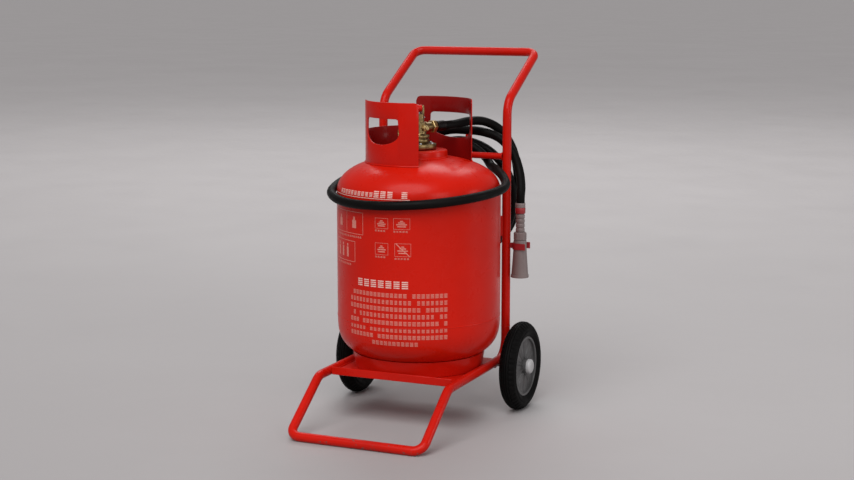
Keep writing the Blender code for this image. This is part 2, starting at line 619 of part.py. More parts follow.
def even_points(curve, step):
    """Points at an even spacing along a curve, both ends kept."""
    lengths = [0.0]
    for a, b in zip(curve, curve[1:]):
        lengths.append(lengths[-1] + (b - a).length)
    count = round(lengths[-1] / step)
    points = []
    place = 0
    for i in range(count + 1):
        target = lengths[-1] * i / count
        while place < len(lengths) - 2 and lengths[place + 1] < target:
            place += 1
        share = (target - lengths[place]) / (lengths[place + 1] - lengths[place])
        points.append(curve[place].lerp(curve[place + 1], min(1.0, share)))
    return points


def build_hose():
    points = even_points(smooth_curve(hose_route()), HOSE_STEP)
    points.insert(0, turn_direction(OUTLET_TURN) * 0.0843 + Vector((0, 0, OUTLET_Z)))
    points.append(Vector((NOZZLE_X, UPRIGHT_Y, NOZZLE_TOP_Z + GAP)))
    curve = bpy.data.curves.new("hose", "CURVE")
    curve.dimensions = "3D"
    curve.bevel_depth = HOSE_R
    curve.bevel_resolution = 2
    curve.use_fill_caps = True
    spline = curve.splines.new("POLY")
    spline.points.add(len(points) - 1)
    for slot, point in zip(spline.points, points):
        slot.co = (*point, 1.0)
    hose = bpy.data.objects.new("hose", curve)
    bpy.context.scene.collection.objects.link(hose)
    curve.materials.append(make_material("hose", "black_rubber"))


def main():
    clear_scene()
    build_vessel()
    build_collar()
    build_valve()
    build_frame()
    build_wheels()
    build_nozzle()
    build_hose()


main()
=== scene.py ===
"""Looks of the wheeled fire extinguisher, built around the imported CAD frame. Lengths are in metres."""

import json
import math

import bmesh
import bpy
from mathutils import Matrix, Vector

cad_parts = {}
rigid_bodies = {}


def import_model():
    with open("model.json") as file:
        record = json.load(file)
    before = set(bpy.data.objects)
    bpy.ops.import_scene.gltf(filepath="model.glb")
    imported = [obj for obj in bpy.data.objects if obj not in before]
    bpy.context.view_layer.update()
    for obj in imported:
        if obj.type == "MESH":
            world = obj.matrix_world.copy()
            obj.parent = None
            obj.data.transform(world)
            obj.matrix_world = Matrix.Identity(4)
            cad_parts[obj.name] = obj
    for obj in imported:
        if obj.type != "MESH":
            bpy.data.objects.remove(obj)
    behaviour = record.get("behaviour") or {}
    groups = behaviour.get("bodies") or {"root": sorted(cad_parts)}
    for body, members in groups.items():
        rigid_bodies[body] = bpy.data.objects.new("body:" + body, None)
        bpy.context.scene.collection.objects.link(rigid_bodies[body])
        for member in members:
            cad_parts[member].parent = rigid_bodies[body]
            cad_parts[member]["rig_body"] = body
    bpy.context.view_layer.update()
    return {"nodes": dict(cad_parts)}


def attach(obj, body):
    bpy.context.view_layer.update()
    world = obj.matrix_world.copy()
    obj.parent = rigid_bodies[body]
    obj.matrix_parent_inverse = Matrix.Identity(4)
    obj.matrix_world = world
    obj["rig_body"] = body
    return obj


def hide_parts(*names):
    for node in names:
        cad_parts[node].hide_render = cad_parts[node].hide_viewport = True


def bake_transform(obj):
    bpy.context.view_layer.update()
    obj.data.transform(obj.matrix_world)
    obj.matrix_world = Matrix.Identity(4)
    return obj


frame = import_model()

# sizes shared with the CAD; a turn is an angle in degrees from the front (-Y) toward +X
VESSEL_R = 0.2
SHELL_LOW_Z = 0.25
SHELL_HIGH_Z = 0.55
TOP_DOME_H = 0.09
TOP_DOME_POWER = 2.3
NECK_BORE_R = 0.0215
BOSS_R = 0.07
LOW_DOME_H = 0.113
LOW_DOME_POWER = 3.05
FRAME_X = 0.169
FRAME_R = 0.011
TUBE_BORE = 0.0085
CROSSBAR_R = 0.008
HANDLE_BEND_Z = 0.7615
HANDLE_TOP_Z = 0.877
REACH_Y = 0.363
RAIL_Z = 0.121
LEG_BEND_Y = -0.212
UPRIGHT_Y = 0.157
UPRIGHT_SPLIT_Z = 0.2
CROSSBAR_Z = 0.628
COLLAR_R = 0.128
COLLAR_BASE_Z = 0.6254
COLLAR_LOW_Z = 0.702
COLLAR_TOP_Z = 0.775
COLLAR_WALL = 0.003
COLLAR_CORNER = 0.012
COLLAR_EDGES = (114.0, 207.0, 292.0, 384.0)
HAND_HOLES = ((158.0, 33.0), (338.0, 25.0))
HAND_HOLE_TOP_Z = 0.736
HAND_HOLE_BOTTOM_Z = 0.674
HAND_HOLE_CORNER = 0.01
OUTLET_Z = 0.7065
OUTLET_TURN = 158
GAUGE_TURN = -22
GAUGE_Z = 0.697
LEVER_TURN = 215
PIN_Z = 0.731
AXLE_Y = 0.121
AXLE_R = 0.008
BUSH_BORE = 0.0083
BUSH_R = 0.011
WHEEL_X = 0.223
WHEEL_R = 0.11
RIM_R = 0.0745
RIB_COUNT = 10
NOZZLE_X = 0.206
NOZZLE_CLIP_Z = 0.406
NOZZLE_TOP_Z = 0.514
HOSE_R = 0.011
HOSE_EXIT_R = 0.0843
COIL_R = 0.145
WRAP_R = 0.2133
GAP = 0.0003

# sizes of the fine surface
HOSE_SIDES = 20
HOSE_STEP = 0.009
HOSE_FREE_END = 0.22
HOSE_STILL_TIP = 0.02
PRINT_LIFT = 0.00035
PRINT_DEPTH = 0.0003
TO_X = Matrix.Rotation(math.radians(90), 4, "Y")


# ---------------------------------------------------------------- mesh helpers
def join_rings(bm, low, high):
    """Skin between two rings of vertices; a ring of one vertex is a pole."""
    if len(low) == 1 and len(high) == 1:
        return
    count = max(len(low), len(high))
    for i in range(count):
        j = (i + 1) % count
        if len(low) == 1:
            bm.faces.new((low[0], high[i], high[j]))
        elif len(high) == 1:
            bm.faces.new((low[i], low[j], high[0]))
        else:
            bm.faces.new((low[i], low[j], high[j], high[i]))


def lathe(profile, segments, matrix=None, radius_at=None):
    """Turn (radius, height) points round Z into a closed skin; a profile that starts on the axis ends on it.

    radius_at(radius, angle, height) can shape the rings."""
    bm = bmesh.new()
    rings = []
    for radius, height in profile:
        if radius <= 0.0:
            rings.append([bm.verts.new((0.0, 0.0, height))])
            continue
        ring = []
        for i in range(segments):
            angle = 2.0 * math.pi * i / segments
            r = radius_at(radius, angle, height) if radius_at else radius
            ring.append(bm.verts.new((r * math.cos(angle), r * math.sin(angle), height)))
        rings.append(ring)
    pairs = list(zip(rings, rings[1:]))
    if profile[0][0] > 0.0:
        pairs.append((rings[-1], rings[0]))
    for low, high in pairs:
        join_rings(bm, low, high)
    if matrix is not None:
        bm.transform(matrix)
    return bm


def pipe_section(bore, radius, half_length):
    """Profile of a plain pipe, for lathe."""
    return [(bore, -half_length), (radius, -half_length), (radius, half_length), (bore, half_length)]


def torus(radius, thickness, segments, sides, matrix=None):
    """Ring of round wire; thickness is the wire's radius."""
    profile = []
    for i in range(sides):
        angle = 2.0 * math.pi * i / sides
        profile.append((radius + thickness * math.cos(angle), thickness * math.sin(angle)))
    return lathe(profile, segments, matrix=matrix)


def prism(outline, axis, low, high, matrix=None):
    """Extrude a closed outline along one axis ('x', 'y' or 'z')."""
    bm = bmesh.new()
    order = {"x": lambda a, b, h: (h, a, b), "y": lambda a, b, h: (a, h, b), "z": lambda a, b, h: (a, b, h)}
    place = order[axis]
    bottom = [bm.verts.new(place(a, b, low)) for a, b in outline]
    top = [bm.verts.new(place(a, b, high)) for a, b in outline]
    bm.faces.new(bottom)
    bm.faces.new(top)
    join_rings(bm, bottom, top)
    if matrix is not None:
        bm.transform(matrix)
    return bm


def box(x0, x1, y0, y1, z0, z1):
    return prism([(x0, y0), (x1, y0), (x1, y1), (x0, y1)], "z", z0, z1)


def merged(*parts):
    """One bmesh holding several closed shells."""
    whole = parts[0]
    for part in parts[1:]:
        mesh = bpy.data.meshes.new("part")
        part.to_mesh(mesh)
        part.free()
        whole.from_mesh(mesh)
        bpy.data.meshes.remove(mesh)
    return whole


def rounded_path(points, radii, arc_points=14):
    """Polyline through the points with each inner corner replaced by an arc."""
    points = [Vector(p) for p in points]
    path = [points[0]]
    for before, corner, after, radius in zip(points, points[1:], points[2:], radii):
        into = (before - corner).normalized()
        out = (after - corner).normalized()
        half = into.angle(out) / 2.0
        reach = radius / math.tan(half)
        centre = corner + (into + out).normalized() * (radius / math.sin(half))
        start = corner + into * reach - centre
        end = corner + out * reach - centre
        for i in range(arc_points):
            path.append(centre + start.slerp(end, i / (arc_points - 1)).normalized() * radius)
    path.append(points[-1])
    return path


def sweep(path, radius, sides, bore=0.0, uv=False):
    """Tube along a path; a bore makes it an open pipe; uv lays (turn, length) on its skin."""
    bm = bmesh.new()
    layer = bm.loops.layers.uv.new("tube") if uv else None
    radii = radius if isinstance(radius, (list, tuple)) else [radius] * len(path)
    skins = [[] for _ in ((radius, bore) if bore else (radius,))]
    normal = None
    for k, point in enumerate(path):
        tangent = (path[min(k + 1, len(path) - 1)] - path[max(k - 1, 0)]).normalized()
        normal = tangent.orthogonal() if normal is None else normal
        normal = (normal - tangent * normal.dot(tangent)).normalized()
        side = tangent.cross(normal)
        for skin, r in zip(skins, (radii[k], bore)):
            ring = []
            for i in range(sides):
                angle = 2.0 * math.pi * i / sides
                ring.append(bm.verts.new(point + (normal * math.cos(angle) + side * math.sin(angle)) * r))
            skin.append(ring)
    for skin in skins:
        length = 0.0
        for k, (low, high) in enumerate(zip(skin, skin[1:])):
            step = (path[k + 1] - path[k]).length
            for i in range(sides):
                j = (i + 1) % sides
                face = bm.faces.new((low[i], low[j], high[j], high[i]))
                if layer:
                    marks = ((i, 0.0), (i + 1, 0.0), (i + 1, step), (i, step))
                    for loop, (turn, extra) in zip(face.loops, marks):
                        loop[layer].uv = (turn / sides, length + extra)
            length += step
    for end in (0, -1):
        if bore:
            join_rings(bm, skins[0][end], skins[1][end])
        else:
            bm.faces.new(skins[0][end])
    return bm


def turn_direction(turn):
    """Unit vector at an angle from the front (-Y), positive toward +X."""
    angle = math.radians(turn)
    return Vector((math.sin(angle), -math.cos(angle), 0.0))


def around(radius, turn, height):
    return turn_direction(turn) * radius + Vector((0.0, 0.0, height))


def along(turn, height):
    """Matrix sending local +Z to the outward direction of a turn, at a height on the axis."""
    direction = turn_direction(turn)
    sideways = Vector((-direction.y, direction.x, 0.0))
    axes = Matrix((sideways, Vector((0.0, 0.0, 1.0)), direction)).transposed()
    return Matrix.Translation((0.0, 0.0, height)) @ axes.to_4x4()


def dome(r_max, base_z, height, power, steps, stop_r=0.0):
    """Superellipse dome from the wall inward, up for a positive height."""
    points = []
    last = math.acos((stop_r / r_max) ** (power / 2.0)) if stop_r > 0.0 else math.pi / 2.0
    for i in range(steps + 1):
        t = last * i / steps
        radius = r_max * math.cos(t) ** (2.0 / power) if i < steps or stop_r > 0.0 else 0.0
        points.append((radius, base_z + height * math.sin(t) ** (2.0 / power)))
    return points


def shell_radius(z):
    """Outside radius of the vessel at a height."""
    if z > SHELL_HIGH_Z:
        rise = min(1.0, (z - SHELL_HIGH_Z) / TOP_DOME_H)
        return VESSEL_R * (1.0 - rise ** TOP_DOME_POWER) ** (1.0 / TOP_DOME_POWER)
    if z < SHELL_LOW_Z:
        drop = min(1.0, (SHELL_LOW_Z - z) / LOW_DOME_H)
        return VESSEL_R * (1.0 - drop ** LOW_DOME_POWER) ** (1.0 / LOW_DOME_POWER)
    return VESSEL_R


def piece(name, bm, material, replaces=None, slot=None, bevel=0.0, angle=38, rides=True):
    """Make a visible piece that stands for the CAD node it replaces, or only adds to the node of its slot.

    It rides that node's body, unless rides is False."""
    bmesh.ops.remove_doubles(bm, verts=bm.verts, dist=1e-6)
    bmesh.ops.recalc_face_normals(bm, faces=bm.faces)
    mesh = bpy.data.meshes.new(name)
    bm.to_mesh(mesh)
    bm.free()
    obj = bpy.data.objects.new(name, mesh)
    bpy.context.scene.collection.objects.link(obj)
    mesh.materials.append(material)
    mesh.shade_smooth()
    mesh.set_sharp_from_angle(angle=math.radians(angle))
    if bevel:
        round_edges(obj, bevel)
    node = replaces or slot
    if rides:
        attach(obj, frame["nodes"][node]["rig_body"])
    if replaces:
        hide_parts(replaces)
    return obj


def round_edges(obj, width):
    modifier = obj.modifiers.new("rounded edges", "BEVEL")
    modifier.width = width
    modifier.segments = 2
    modifier.limit_method = "ANGLE"
    modifier.angle_limit = math.radians(32)


def refined(node, material, bevel):
    """A copy of a CAD node with rounded edges, standing for it."""
    bm = bmesh.new()
    bm.from_mesh(frame["nodes"][node].data)
    bmesh.ops.remove_doubles(bm, verts=bm.verts, dist=1e-6)
    bmesh.ops.dissolve_limit(bm, angle_limit=math.radians(1.0), verts=bm.verts, edges=bm.edges)
    return piece("fine_" + node, bm, material, node, bevel=bevel)


# ---------------------------------------------------------------- materials
class Finish:
    """A node material: a Principled shader and the procedural nodes that feed it."""

    def __init__(self, name, roughness=0.5, metallic=0.0, **uniform):
        self.material = bpy.data.materials.new(name)
        self.material.use_nodes = True
        self.nodes = self.material.node_tree.nodes
        self.links = self.material.node_tree.links
        self.shader = self.nodes["Principled BSDF"]
        self.shader.inputs["Roughness"].default_value = roughness
        self.shader.inputs["Metallic"].default_value = metallic
        for key, value in uniform.items():
            self.shader.inputs[key.replace("_", " ")].default_value = value
        self.place = self.nodes.new("ShaderNodeTexCoord").outputs["Object"]
        self.normal = None

    def feed(self, socket, value):
        if isinstance(value, bpy.types.NodeSocket):
            self.links.new(value, socket)
        else:
            socket.default_value = value

    def node(self, kind, output, inputs, **settings):
        """Add a node, set it up, feed its inputs and return one of its outputs."""
        node = self.nodes.new("ShaderNode" + kind)
        for key, value in settings.items():
            setattr(node, key, value)
        for key, value in inputs.items():
            self.feed(node.inputs[key], value)
        return node.outputs[output]

    def noise(self, scale, detail=3.0, roughness=0.55, place=None):
        return self.node("TexNoise", "Fac", {"Scale": scale, "Detail": detail, "Roughness": roughness,
                                             "Vector": place or self.place})

    def stretched(self, x, y, z, place=None):
        return self.node("Mapping", "Vector", {"Scale": (x, y, z), "Vector": place or self.place})

    def wave(self, scale, direction="Z", place=None, distortion=0.0):
        return self.node("TexWave", "Fac", {"Scale": scale, "Distortion": distortion,
                                            "Vector": place or self.place}, bands_direction=direction)

    def cells(self, scale):
        return self.node("TexVoronoi", "Distance", {"Scale": scale, "Vector": self.place})

    def ramp(self, value, low, high, to_low=0.0, to_high=1.0):
        """Map a value from low..high to to_low..to_high, clamped."""
        return self.node("MapRange", "Result", {"Value": value, "From Min": low, "From Max": high,
                                                "To Min": to_low, "To Max": to_high})

    def math(self, operation, a, b):
        return self.node("Math", "Value", {0: a, 1: b}, operation=operation)

    def height(self):
        return self.node("SeparateXYZ", "Z", {"Vector": self.place})

    def axis_distance(self):
        return self.node("VectorMath", "Value", {0: self.stretched(1.0, 1.0, 0.0)}, operation="LENGTH")

    def mix(self, share, a, b):
        colours = [c if isinstance(c, bpy.types.NodeSocket) else (*c, 1.0) for c in (a, b)]
        return self.node("Mix", "Result", {"Factor": share, "A": colours[0], "B": colours[1]},
                         data_type="RGBA")

    def colour(self, value):
        self.feed(self.shader.inputs["Base Color"], value)

    def rough(self, value):
        self.feed(self.shader.inputs["Roughness"], value)

    def uneven_rough(self, scale, low, high, detail=4.0):
        """Roughness that drifts between two values."""
        self.rough(self.ramp(self.noise(scale, detail), 0.3, 0.7, low, high))

    def bump(self, value, distance, strength=1.0):
        """Add a layer of relief of this height, in metres."""
        inputs = {"Distance": distance, "Strength": strength, "Height": value}
        if self.normal:
            inputs["Normal"] = self.normal
        self.normal = self.node("Bump", "Normal", inputs)
        self.links.new(self.normal, self.shader.inputs["Normal"])


def enamel(name, light, dark, worn_below=None, shade_within=None):
    """Gloss paint on steel: orange peel, drifting tone, dust, small scuffs, and chips near the ground.

    Closer to the vertical axis than the given radius, the colour is darkened: painted shade inside the
    collar."""
    f = Finish(name, Specular_IOR_Level=0.12, Coat_Weight=0.06, Coat_Roughness=0.08)
    tone = f.mix(f.ramp(f.noise(5.0), 0.35, 0.65), light, dark)
    dust = f.ramp(f.noise(900.0, 2.0), 0.62, 0.8, 0.0, 0.14)
    tone = f.mix(dust, tone, (0.62, 0.16, 0.12))
    scuff_place = f.stretched(26.0, 26.0, 150.0)
    scuffs = f.ramp(f.noise(1.0, 5.0, 0.65, scuff_place), 0.72, 0.8, 0.0, 0.22)
    tone = f.mix(scuffs, tone, (0.2, 0.012, 0.008))
    # painted shade: inside the given radius the colour turns to a dark red
    if shade_within is not None:
        inside = f.ramp(f.axis_distance(), shade_within - 0.0006, shade_within + 0.0006, 1.0, 0.0)
        tone = f.mix(inside, tone, (0.21, 0.0045, 0.004))
    if worn_below is not None:
        near = f.ramp(f.height(), 0.0, worn_below, 1.0, 0.0)
        wear = f.math("ADD", f.noise(70.0, 6.0, 0.7), f.math("MULTIPLY", near, 0.13))
        chips = f.ramp(wear, 0.7, 0.74)
        tone = f.mix(chips, tone, (0.1, 0.085, 0.075))
        f.bump(f.math("SUBTRACT", 1.0, chips), 0.0003, 0.5)
    f.colour(tone)
    f.uneven_rough(28.0, 0.24, 0.38)
    f.bump(f.noise(420.0, 1.0), 0.0003, 0.16)
    f.bump(f.noise(14.0, 2.0), 0.002, 0.05)
    return f.material


def brass(name, tarnish_and_shade):
    """Tarnished brass or bronze with brighter rubbed spots and faint turning marks."""
    f = Finish(name, metallic=1.0)
    spots = f.ramp(f.noise(60.0, 5.0, 0.65), 0.42, 0.66)
    tone = f.mix(spots, tuple(1.7 * c for c in tarnish_and_shade), tarnish_and_shade)
    f.colour(f.mix(f.ramp(f.noise(400.0, 2.0), 0.58, 0.78, 0.0, 0.35), tone, (0.62, 0.47, 0.25)))
    f.uneven_rough(90.0, 0.26, 0.48)
    f.bump(f.wave(700.0, "Z", distortion=1.5), 0.00006, 0.35)
    f.bump(f.noise(260.0, 3.0), 0.0002, 0.2)
    return f.material


def zinc(name, base=(0.5, 0.51, 0.52)):
    """Zinc-plated or turned steel with cloudy plating and fine scratches."""
    f = Finish(name, metallic=1.0)
    cloud = f.ramp(f.noise(45.0, 5.0, 0.7), 0.35, 0.65)
    tone = f.mix(cloud, base, tuple(0.62 * c for c in base))
    grime = f.ramp(f.noise(160.0, 4.0), 0.6, 0.75, 0.0, 0.6)
    f.colour(f.mix(grime, tone, (0.09, 0.075, 0.06)))
    f.uneven_rough(120.0, 0.24, 0.46)
    scratches = f.noise(1.0, 2.0, 0.5, f.stretched(60.0, 1800.0, 1800.0))
    f.bump(scratches, 0.0001, 0.25)
    return f.material


def rubber(name, base, dust_colour, grain, roughness=(0.48, 0.68)):
    """Dull black rubber with dust in its grain; returns the Finish, so that more relief can be added."""
    f = Finish(name, Specular_IOR_Level=0.06)
    lighter = tuple(1.5 * c for c in base)
    tone = f.mix(f.ramp(f.noise(9.0, 4.0), 0.35, 0.7), base, lighter)
    dust = f.ramp(f.noise(150.0, 5.0, 0.7), 0.58, 0.82, 0.0, 0.22)
    f.colour(f.mix(dust, tone, dust_colour))
    f.uneven_rough(40.0, *roughness)
    f.bump(f.noise(grain, 3.0, 0.6), 0.0003, 0.25)
    return f


def plastic(name, base, shade, grain=700.0, roughness=(0.34, 0.5), relief=0.22):
    """Moulded plastic with a fine spark-eroded grain and a slightly uneven colour."""
    f = Finish(name, Specular_IOR_Level=0.45)
    tone = f.mix(f.ramp(f.noise(16.0, 3.0), 0.35, 0.65), base, shade)
    specks = f.ramp(f.noise(520.0, 2.0), 0.62, 0.78, 0.0, 0.3)
    f.colour(f.mix(specks, tone, tuple(0.55 * c for c in base)))
    f.uneven_rough(50.0, *roughness)
    f.bump(f.cells(grain), 0.00025, relief)
    f.bump(f.noise(60.0, 2.0), 0.0005, 0.08)
    return f.material


def hose_rubber():
    """Black hose cover with the faint cross weave of the braid beneath it."""
    f = rubber("hose_cover", (0.0038, 0.0034, 0.0033), (0.028, 0.025, 0.022), 500.0, (0.36, 0.56))
    uv = f.node("UVMap", "UV", {}, uv_map="tube")
    left = f.wave(1.0, "DIAGONAL", f.stretched(6.0, 90.0, 1.0, uv))
    right = f.wave(1.0, "DIAGONAL", f.stretched(-6.0, 90.0, 1.0, uv))
    f.bump(f.math("MULTIPLY", left, right), 0.0005, 0.3)
    return f.material


def print_ink(name, ink):
    """Screen-printed pale ink, thin in places."""
    f = Finish(name, Specular_IOR_Level=0.2)
    thin = f.ramp(f.noise(260.0, 4.0, 0.65), 0.46, 0.74, 0.0, 0.7)
    f.colour(f.mix(thin, ink, (0.56, 0.07, 0.045)))
    f.uneven_rough(90.0, 0.38, 0.55, 3.0)
    f.bump(f.noise(500.0, 2.0), 0.0001, 0.2)
    return f.material


def dial_paint(name, base, shade):
    return plastic(name, base, shade, 1500.0, (0.4, 0.55), 0.05)


def glass():
    f = Finish("gauge_glass", roughness=0.04, IOR=1.46, Transmission_Weight=1.0)
    f.colour(f.mix(f.noise(20.0), (0.98, 0.99, 0.99), (0.94, 0.96, 0.96)))
    f.rough(f.ramp(f.noise(80.0, 3.0), 0.4, 0.8, 0.03, 0.12))
    f.bump(f.noise(40.0, 1.0), 0.0001, 0.05)
    return f.material


def floor_finish():
    f = Finish("studio_floor")
    drift = f.ramp(f.noise(0.7, 2.0), 0.35, 0.65)
    f.colour(f.mix(drift, (0.385, 0.366, 0.368), (0.373, 0.354, 0.356)))
    f.uneven_rough(3.0, 0.55, 0.7, 3.0)
    f.bump(f.noise(90.0, 2.0), 0.0005, 0.04)
    return f.material


RED_TONES = ((0.56, 0.0084, 0.0027), (0.48, 0.0069, 0.0023))
RED = enamel("red_enamel", *RED_TONES, worn_below=0.05)
# the inside of the collar is darkened: painted shade
COLLAR_RED_SHADED_INSIDE = enamel("collar_enamel_painted_shade", *RED_TONES, shade_within=COLLAR_R)
VESSEL_RED = enamel("vessel_enamel", (0.59, 0.0094, 0.0022), (0.53, 0.0084, 0.002))
# the cast brass is darker than the turned brass partly as painted shade: the valve body and bonnet sit in the
# collar's shadow
SHADED_CAST_BRASS = brass("cast_brass_painted_shade", (0.17, 0.12, 0.055))
BRIGHT_BRASS = brass("turned_brass", (0.33, 0.24, 0.11))
ZINC = zinc("zinc_plate")
DARK_STEEL = zinc("axle_steel", (0.2, 0.17, 0.16))
# near-black: painted shade on the outlet ferrule, which sits inside the collar
SHADED_FERRULE_STEEL = zinc("ferrule_steel_painted_shade", (0.035, 0.032, 0.032))
BRONZE = brass("sintered_bronze", (0.3, 0.17, 0.08))
HOSE = hose_rubber()
TYRE = rubber("tyre_rubber", (0.0026, 0.0023, 0.0023), (0.02, 0.018, 0.017), 320.0).material
GASKET = rubber("gasket_rubber", (0.01, 0.01, 0.01), (0.03, 0.03, 0.03), 900.0).material
RIM_GREY = plastic("rim_plastic", (0.088, 0.084, 0.085), (0.07, 0.067, 0.068), roughness=(0.3, 0.44))
CAP_GREY = plastic("cap_plastic", (0.45, 0.44, 0.445), (0.39, 0.385, 0.39))
# grey plastic with a reddish tint; the tint is painted reflection of the red vessel
NOZZLE_GREY_RED_REFLECTION = plastic("nozzle_plastic_painted_red_reflection", (0.212, 0.165, 0.16), (0.178, 0.136, 0.132))
CLIP_RED = plastic("clip_plastic", (0.33, 0.018, 0.022), (0.27, 0.014, 0.018))
INK = print_ink("title_ink", (0.8, 0.52, 0.46))
FINE_INK = print_ink("fine_ink", (0.68, 0.25, 0.2))
DIAL_WHITE = dial_paint("dial_white", (0.78, 0.77, 0.73), (0.72, 0.71, 0.67))
DIAL_GREEN = dial_paint("dial_green", (0.05, 0.34, 0.09), (0.04, 0.28, 0.07))
DIAL_RED = dial_paint("dial_red", (0.6, 0.03, 0.02), (0.5, 0.02, 0.02))
DIAL_BLACK = dial_paint("dial_black", (0.02, 0.02, 0.02), (0.03, 0.03, 0.03))
GLASS = glass()


# ---------------------------------------------------------------- camera, floor and light
def build_camera():
    data = bpy.data.cameras.new("camera")
    data.lens = 67.83
    data.sensor_width = 36.0
    camera = bpy.data.objects.new("camera", data)
    camera.location = (1.589, -3.558, 1.054)
    camera.rotation_euler = (math.pi / 2.0 - 0.1587, 0.0, 0.4149)
    bpy.context.scene.collection.objects.link(camera)
    bpy.context.scene.camera = camera


def build_floor():
    bm = bmesh.new()
    bmesh.ops.create_grid(bm, x_segments=8, y_segments=8, size=400.0)
    mesh = bpy.data.meshes.new("floor")
    bm.to_mesh(mesh)
    bm.free()
    floor = bpy.data.objects.new("floor", mesh)
    mesh.materials.append(floor_finish())
    bpy.context.scene.collection.objects.link(floor)


def aim(light, place, target):
    """Turn a light so that it shines from a place toward a target."""
    light.rotation_euler = (Vector(target) - Vector(place)).to_track_quat("-Z", "Y").to_euler()
    bpy.context.scene.collection.objects.link(light)


def add_light(name, place, target, size, energy):
    data = bpy.data.lights.new(name, "AREA")
    data.shape = "RECTANGLE"
    data.size, data.size_y = size
    data.energy = energy
    light = bpy.data.objects.new(name, data)
    light.location = place
    aim(light, place, target)


def build_light():
    world = bpy.data.worlds.new("studio")
    world.use_nodes = True
    background = world.node_tree.nodes["Background"]
    background.inputs["Color"].default_value = (0.9, 0.885, 0.89, 1.0)
    background.inputs["Strength"].default_value = 0.27
    bpy.context.scene.world = world
    bpy.context.scene.view_settings.view_transform = "Standard"
    key = bpy.data.lights.new("key", "SUN")
    key.energy = 2.45
    key.angle = math.radians(50.0)
    aim(bpy.data.objects.new("key", key), (0.06, -0.62, 0.8), (0.0, 0.0, 0.0))
    add_light("floor_wash", (-1.8, 4.8, 5.0), (-1.7, 4.3, 0.0), (5.0, 4.0), 190.0)
    add_light("front_right", (3.0, -2.2, 1.7), (0.0, 0.0, 0.45), (1.6, 1.6), 20.0)
    add_light("right_edge", (3.0, 0.9, 1.0), (0.1, 0.1, 0.4), (0.8, 1.4), 12.0)


# ---------------------------------------------------------------- hose
def coil_point(angle, depth):
    """Point of the hanging coil, clockwise from the top as seen from the front."""
    a = math.radians(angle)
    return (0.02 + COIL_R * math.sin(a), depth, 0.512 + COIL_R * math.cos(a))


def hose_route():
    """The same points as the CAD hose, from the valve outlet round the vessel to the nozzle."""
    start = turn_direction(OUTLET_TURN)
    route = [start * 0.0993 + Vector((0, 0, OUTLET_Z)), start * 0.128 + Vector((0, 0, OUTLET_Z + 0.001))]
    route += [(0.066, 0.16, 0.712), (0.093, 0.195, 0.7095), (0.124, 0.221, 0.689), (0.15, 0.236, 0.648),
              (0.165, 0.2405, 0.59)]
    depths = [0.241, 0.241, 0.2405, 0.2395, 0.2375, 0.2345, 0.231, 0.2275, 0.2235, 0.2195, 0.217, 0.2165,
              0.2165, 0.216, 0.2145, 0.2125, 0.2105, 0.2085, 0.205, 0.1985, 0.191]
    route += [coil_point(90 + 30 * i, depth) for i, depth in enumerate(depths)]
    route += [(0.02, 0.187, 0.657), (0.064, 0.1865, 0.646), (0.1, 0.1845, 0.622),
              (0.124, 0.163, 0.6035), (0.15, 0.131, 0.598), (0.182, 0.093, 0.588)]
    route += [around(WRAP_R, turn, height) for turn, height in (
        (104, 0.573), (90, 0.565), (60, 0.557), (30, 0.548), (0, 0.542), (-30, 0.541), (-60, 0.55),
        (-90, 0.563), (-104, 0.573))]
    route += [(-0.182, 0.093, 0.589), (-0.15, 0.131, 0.599), (-0.127, 0.161, 0.603),
              (-0.108, 0.1905, 0.628), (-0.065, 0.211, 0.665), (-0.01, 0.216, 0.6825),
              (0.04, 0.21, 0.6845), (0.09, 0.201, 0.682), (0.137, 0.193, 0.668),
              (0.174, 0.188, 0.633), (0.195, 0.178, 0.589), (0.205, 0.164, 0.551),
              (NOZZLE_X, UPRIGHT_Y, NOZZLE_TOP_Z + 0.015)]
    return [Vector(p) for p in route]


def smooth_curve(points, steps=12):
    """Centripetal Catmull-Rom curve through the points."""
    pts = [points[0] * 2 - points[1]] + points + [points[-1] * 2 - points[-2]]
    curve = []
    for p0, p1, p2, p3 in zip(pts, pts[1:], pts[2:], pts[3:]):
        t1 = (p1 - p0).length ** 0.5
        t2 = t1 + (p2 - p1).length ** 0.5
        t3 = t2 + (p3 - p2).length ** 0.5
        for i in range(steps):
            t = t1 + (t2 - t1) * i / steps
            a1 = p0.lerp(p1, t / t1)
            a2 = p1.lerp(p2, (t - t1) / (t2 - t1))
            a3 = p2.lerp(p3, (t - t2) / (t3 - t2))
            b1 = a1.lerp(a2, t / t2)
            b2 = a2.lerp(a3, (t - t1) / (t3 - t1))
            curve.append(b1.lerp(b2, (t - t1) / (t2 - t1)))
    curve.append(points[-1])
    return curve


def even_points(curve, step):
    """Points at an even spacing along a curve, both ends kept."""
    lengths = [0.0]
    for a, b in zip(curve, curve[1:]):
        lengths.append(lengths[-1] + (b - a).length)
    count = round(lengths[-1] / step)
    points = []
    place = 0
    for i in range(count + 1):
        target = lengths[-1] * i / count
        while place < len(lengths) - 2 and lengths[place + 1] < target:
            place += 1
        share = (target - lengths[place]) / (lengths[place + 1] - lengths[place])
        points.append(curve[place].lerp(curve[place + 1], min(1.0, share)))
    return points


def build_hose():
    """The hose, swept from the valve outlet round the vessel to the nozzle; it rides no body."""
    exit_point = around(HOSE_EXIT_R, OUTLET_TURN, OUTLET_Z)
    end_point = Vector((NOZZLE_X, UPRIGHT_Y, NOZZLE_TOP_Z + GAP))
    route = [exit_point] + hose_route() + [end_point]
    path = even_points(smooth_curve(route), HOSE_STEP)
    bm = sweep(path, HOSE_R, HOSE_SIDES, uv=True)
    hose = piece("hose_tube", bm, HOSE, "hose", rides=False)
    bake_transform(hose)
    weigh_hose_end(path)
    return hose, exit_point, path


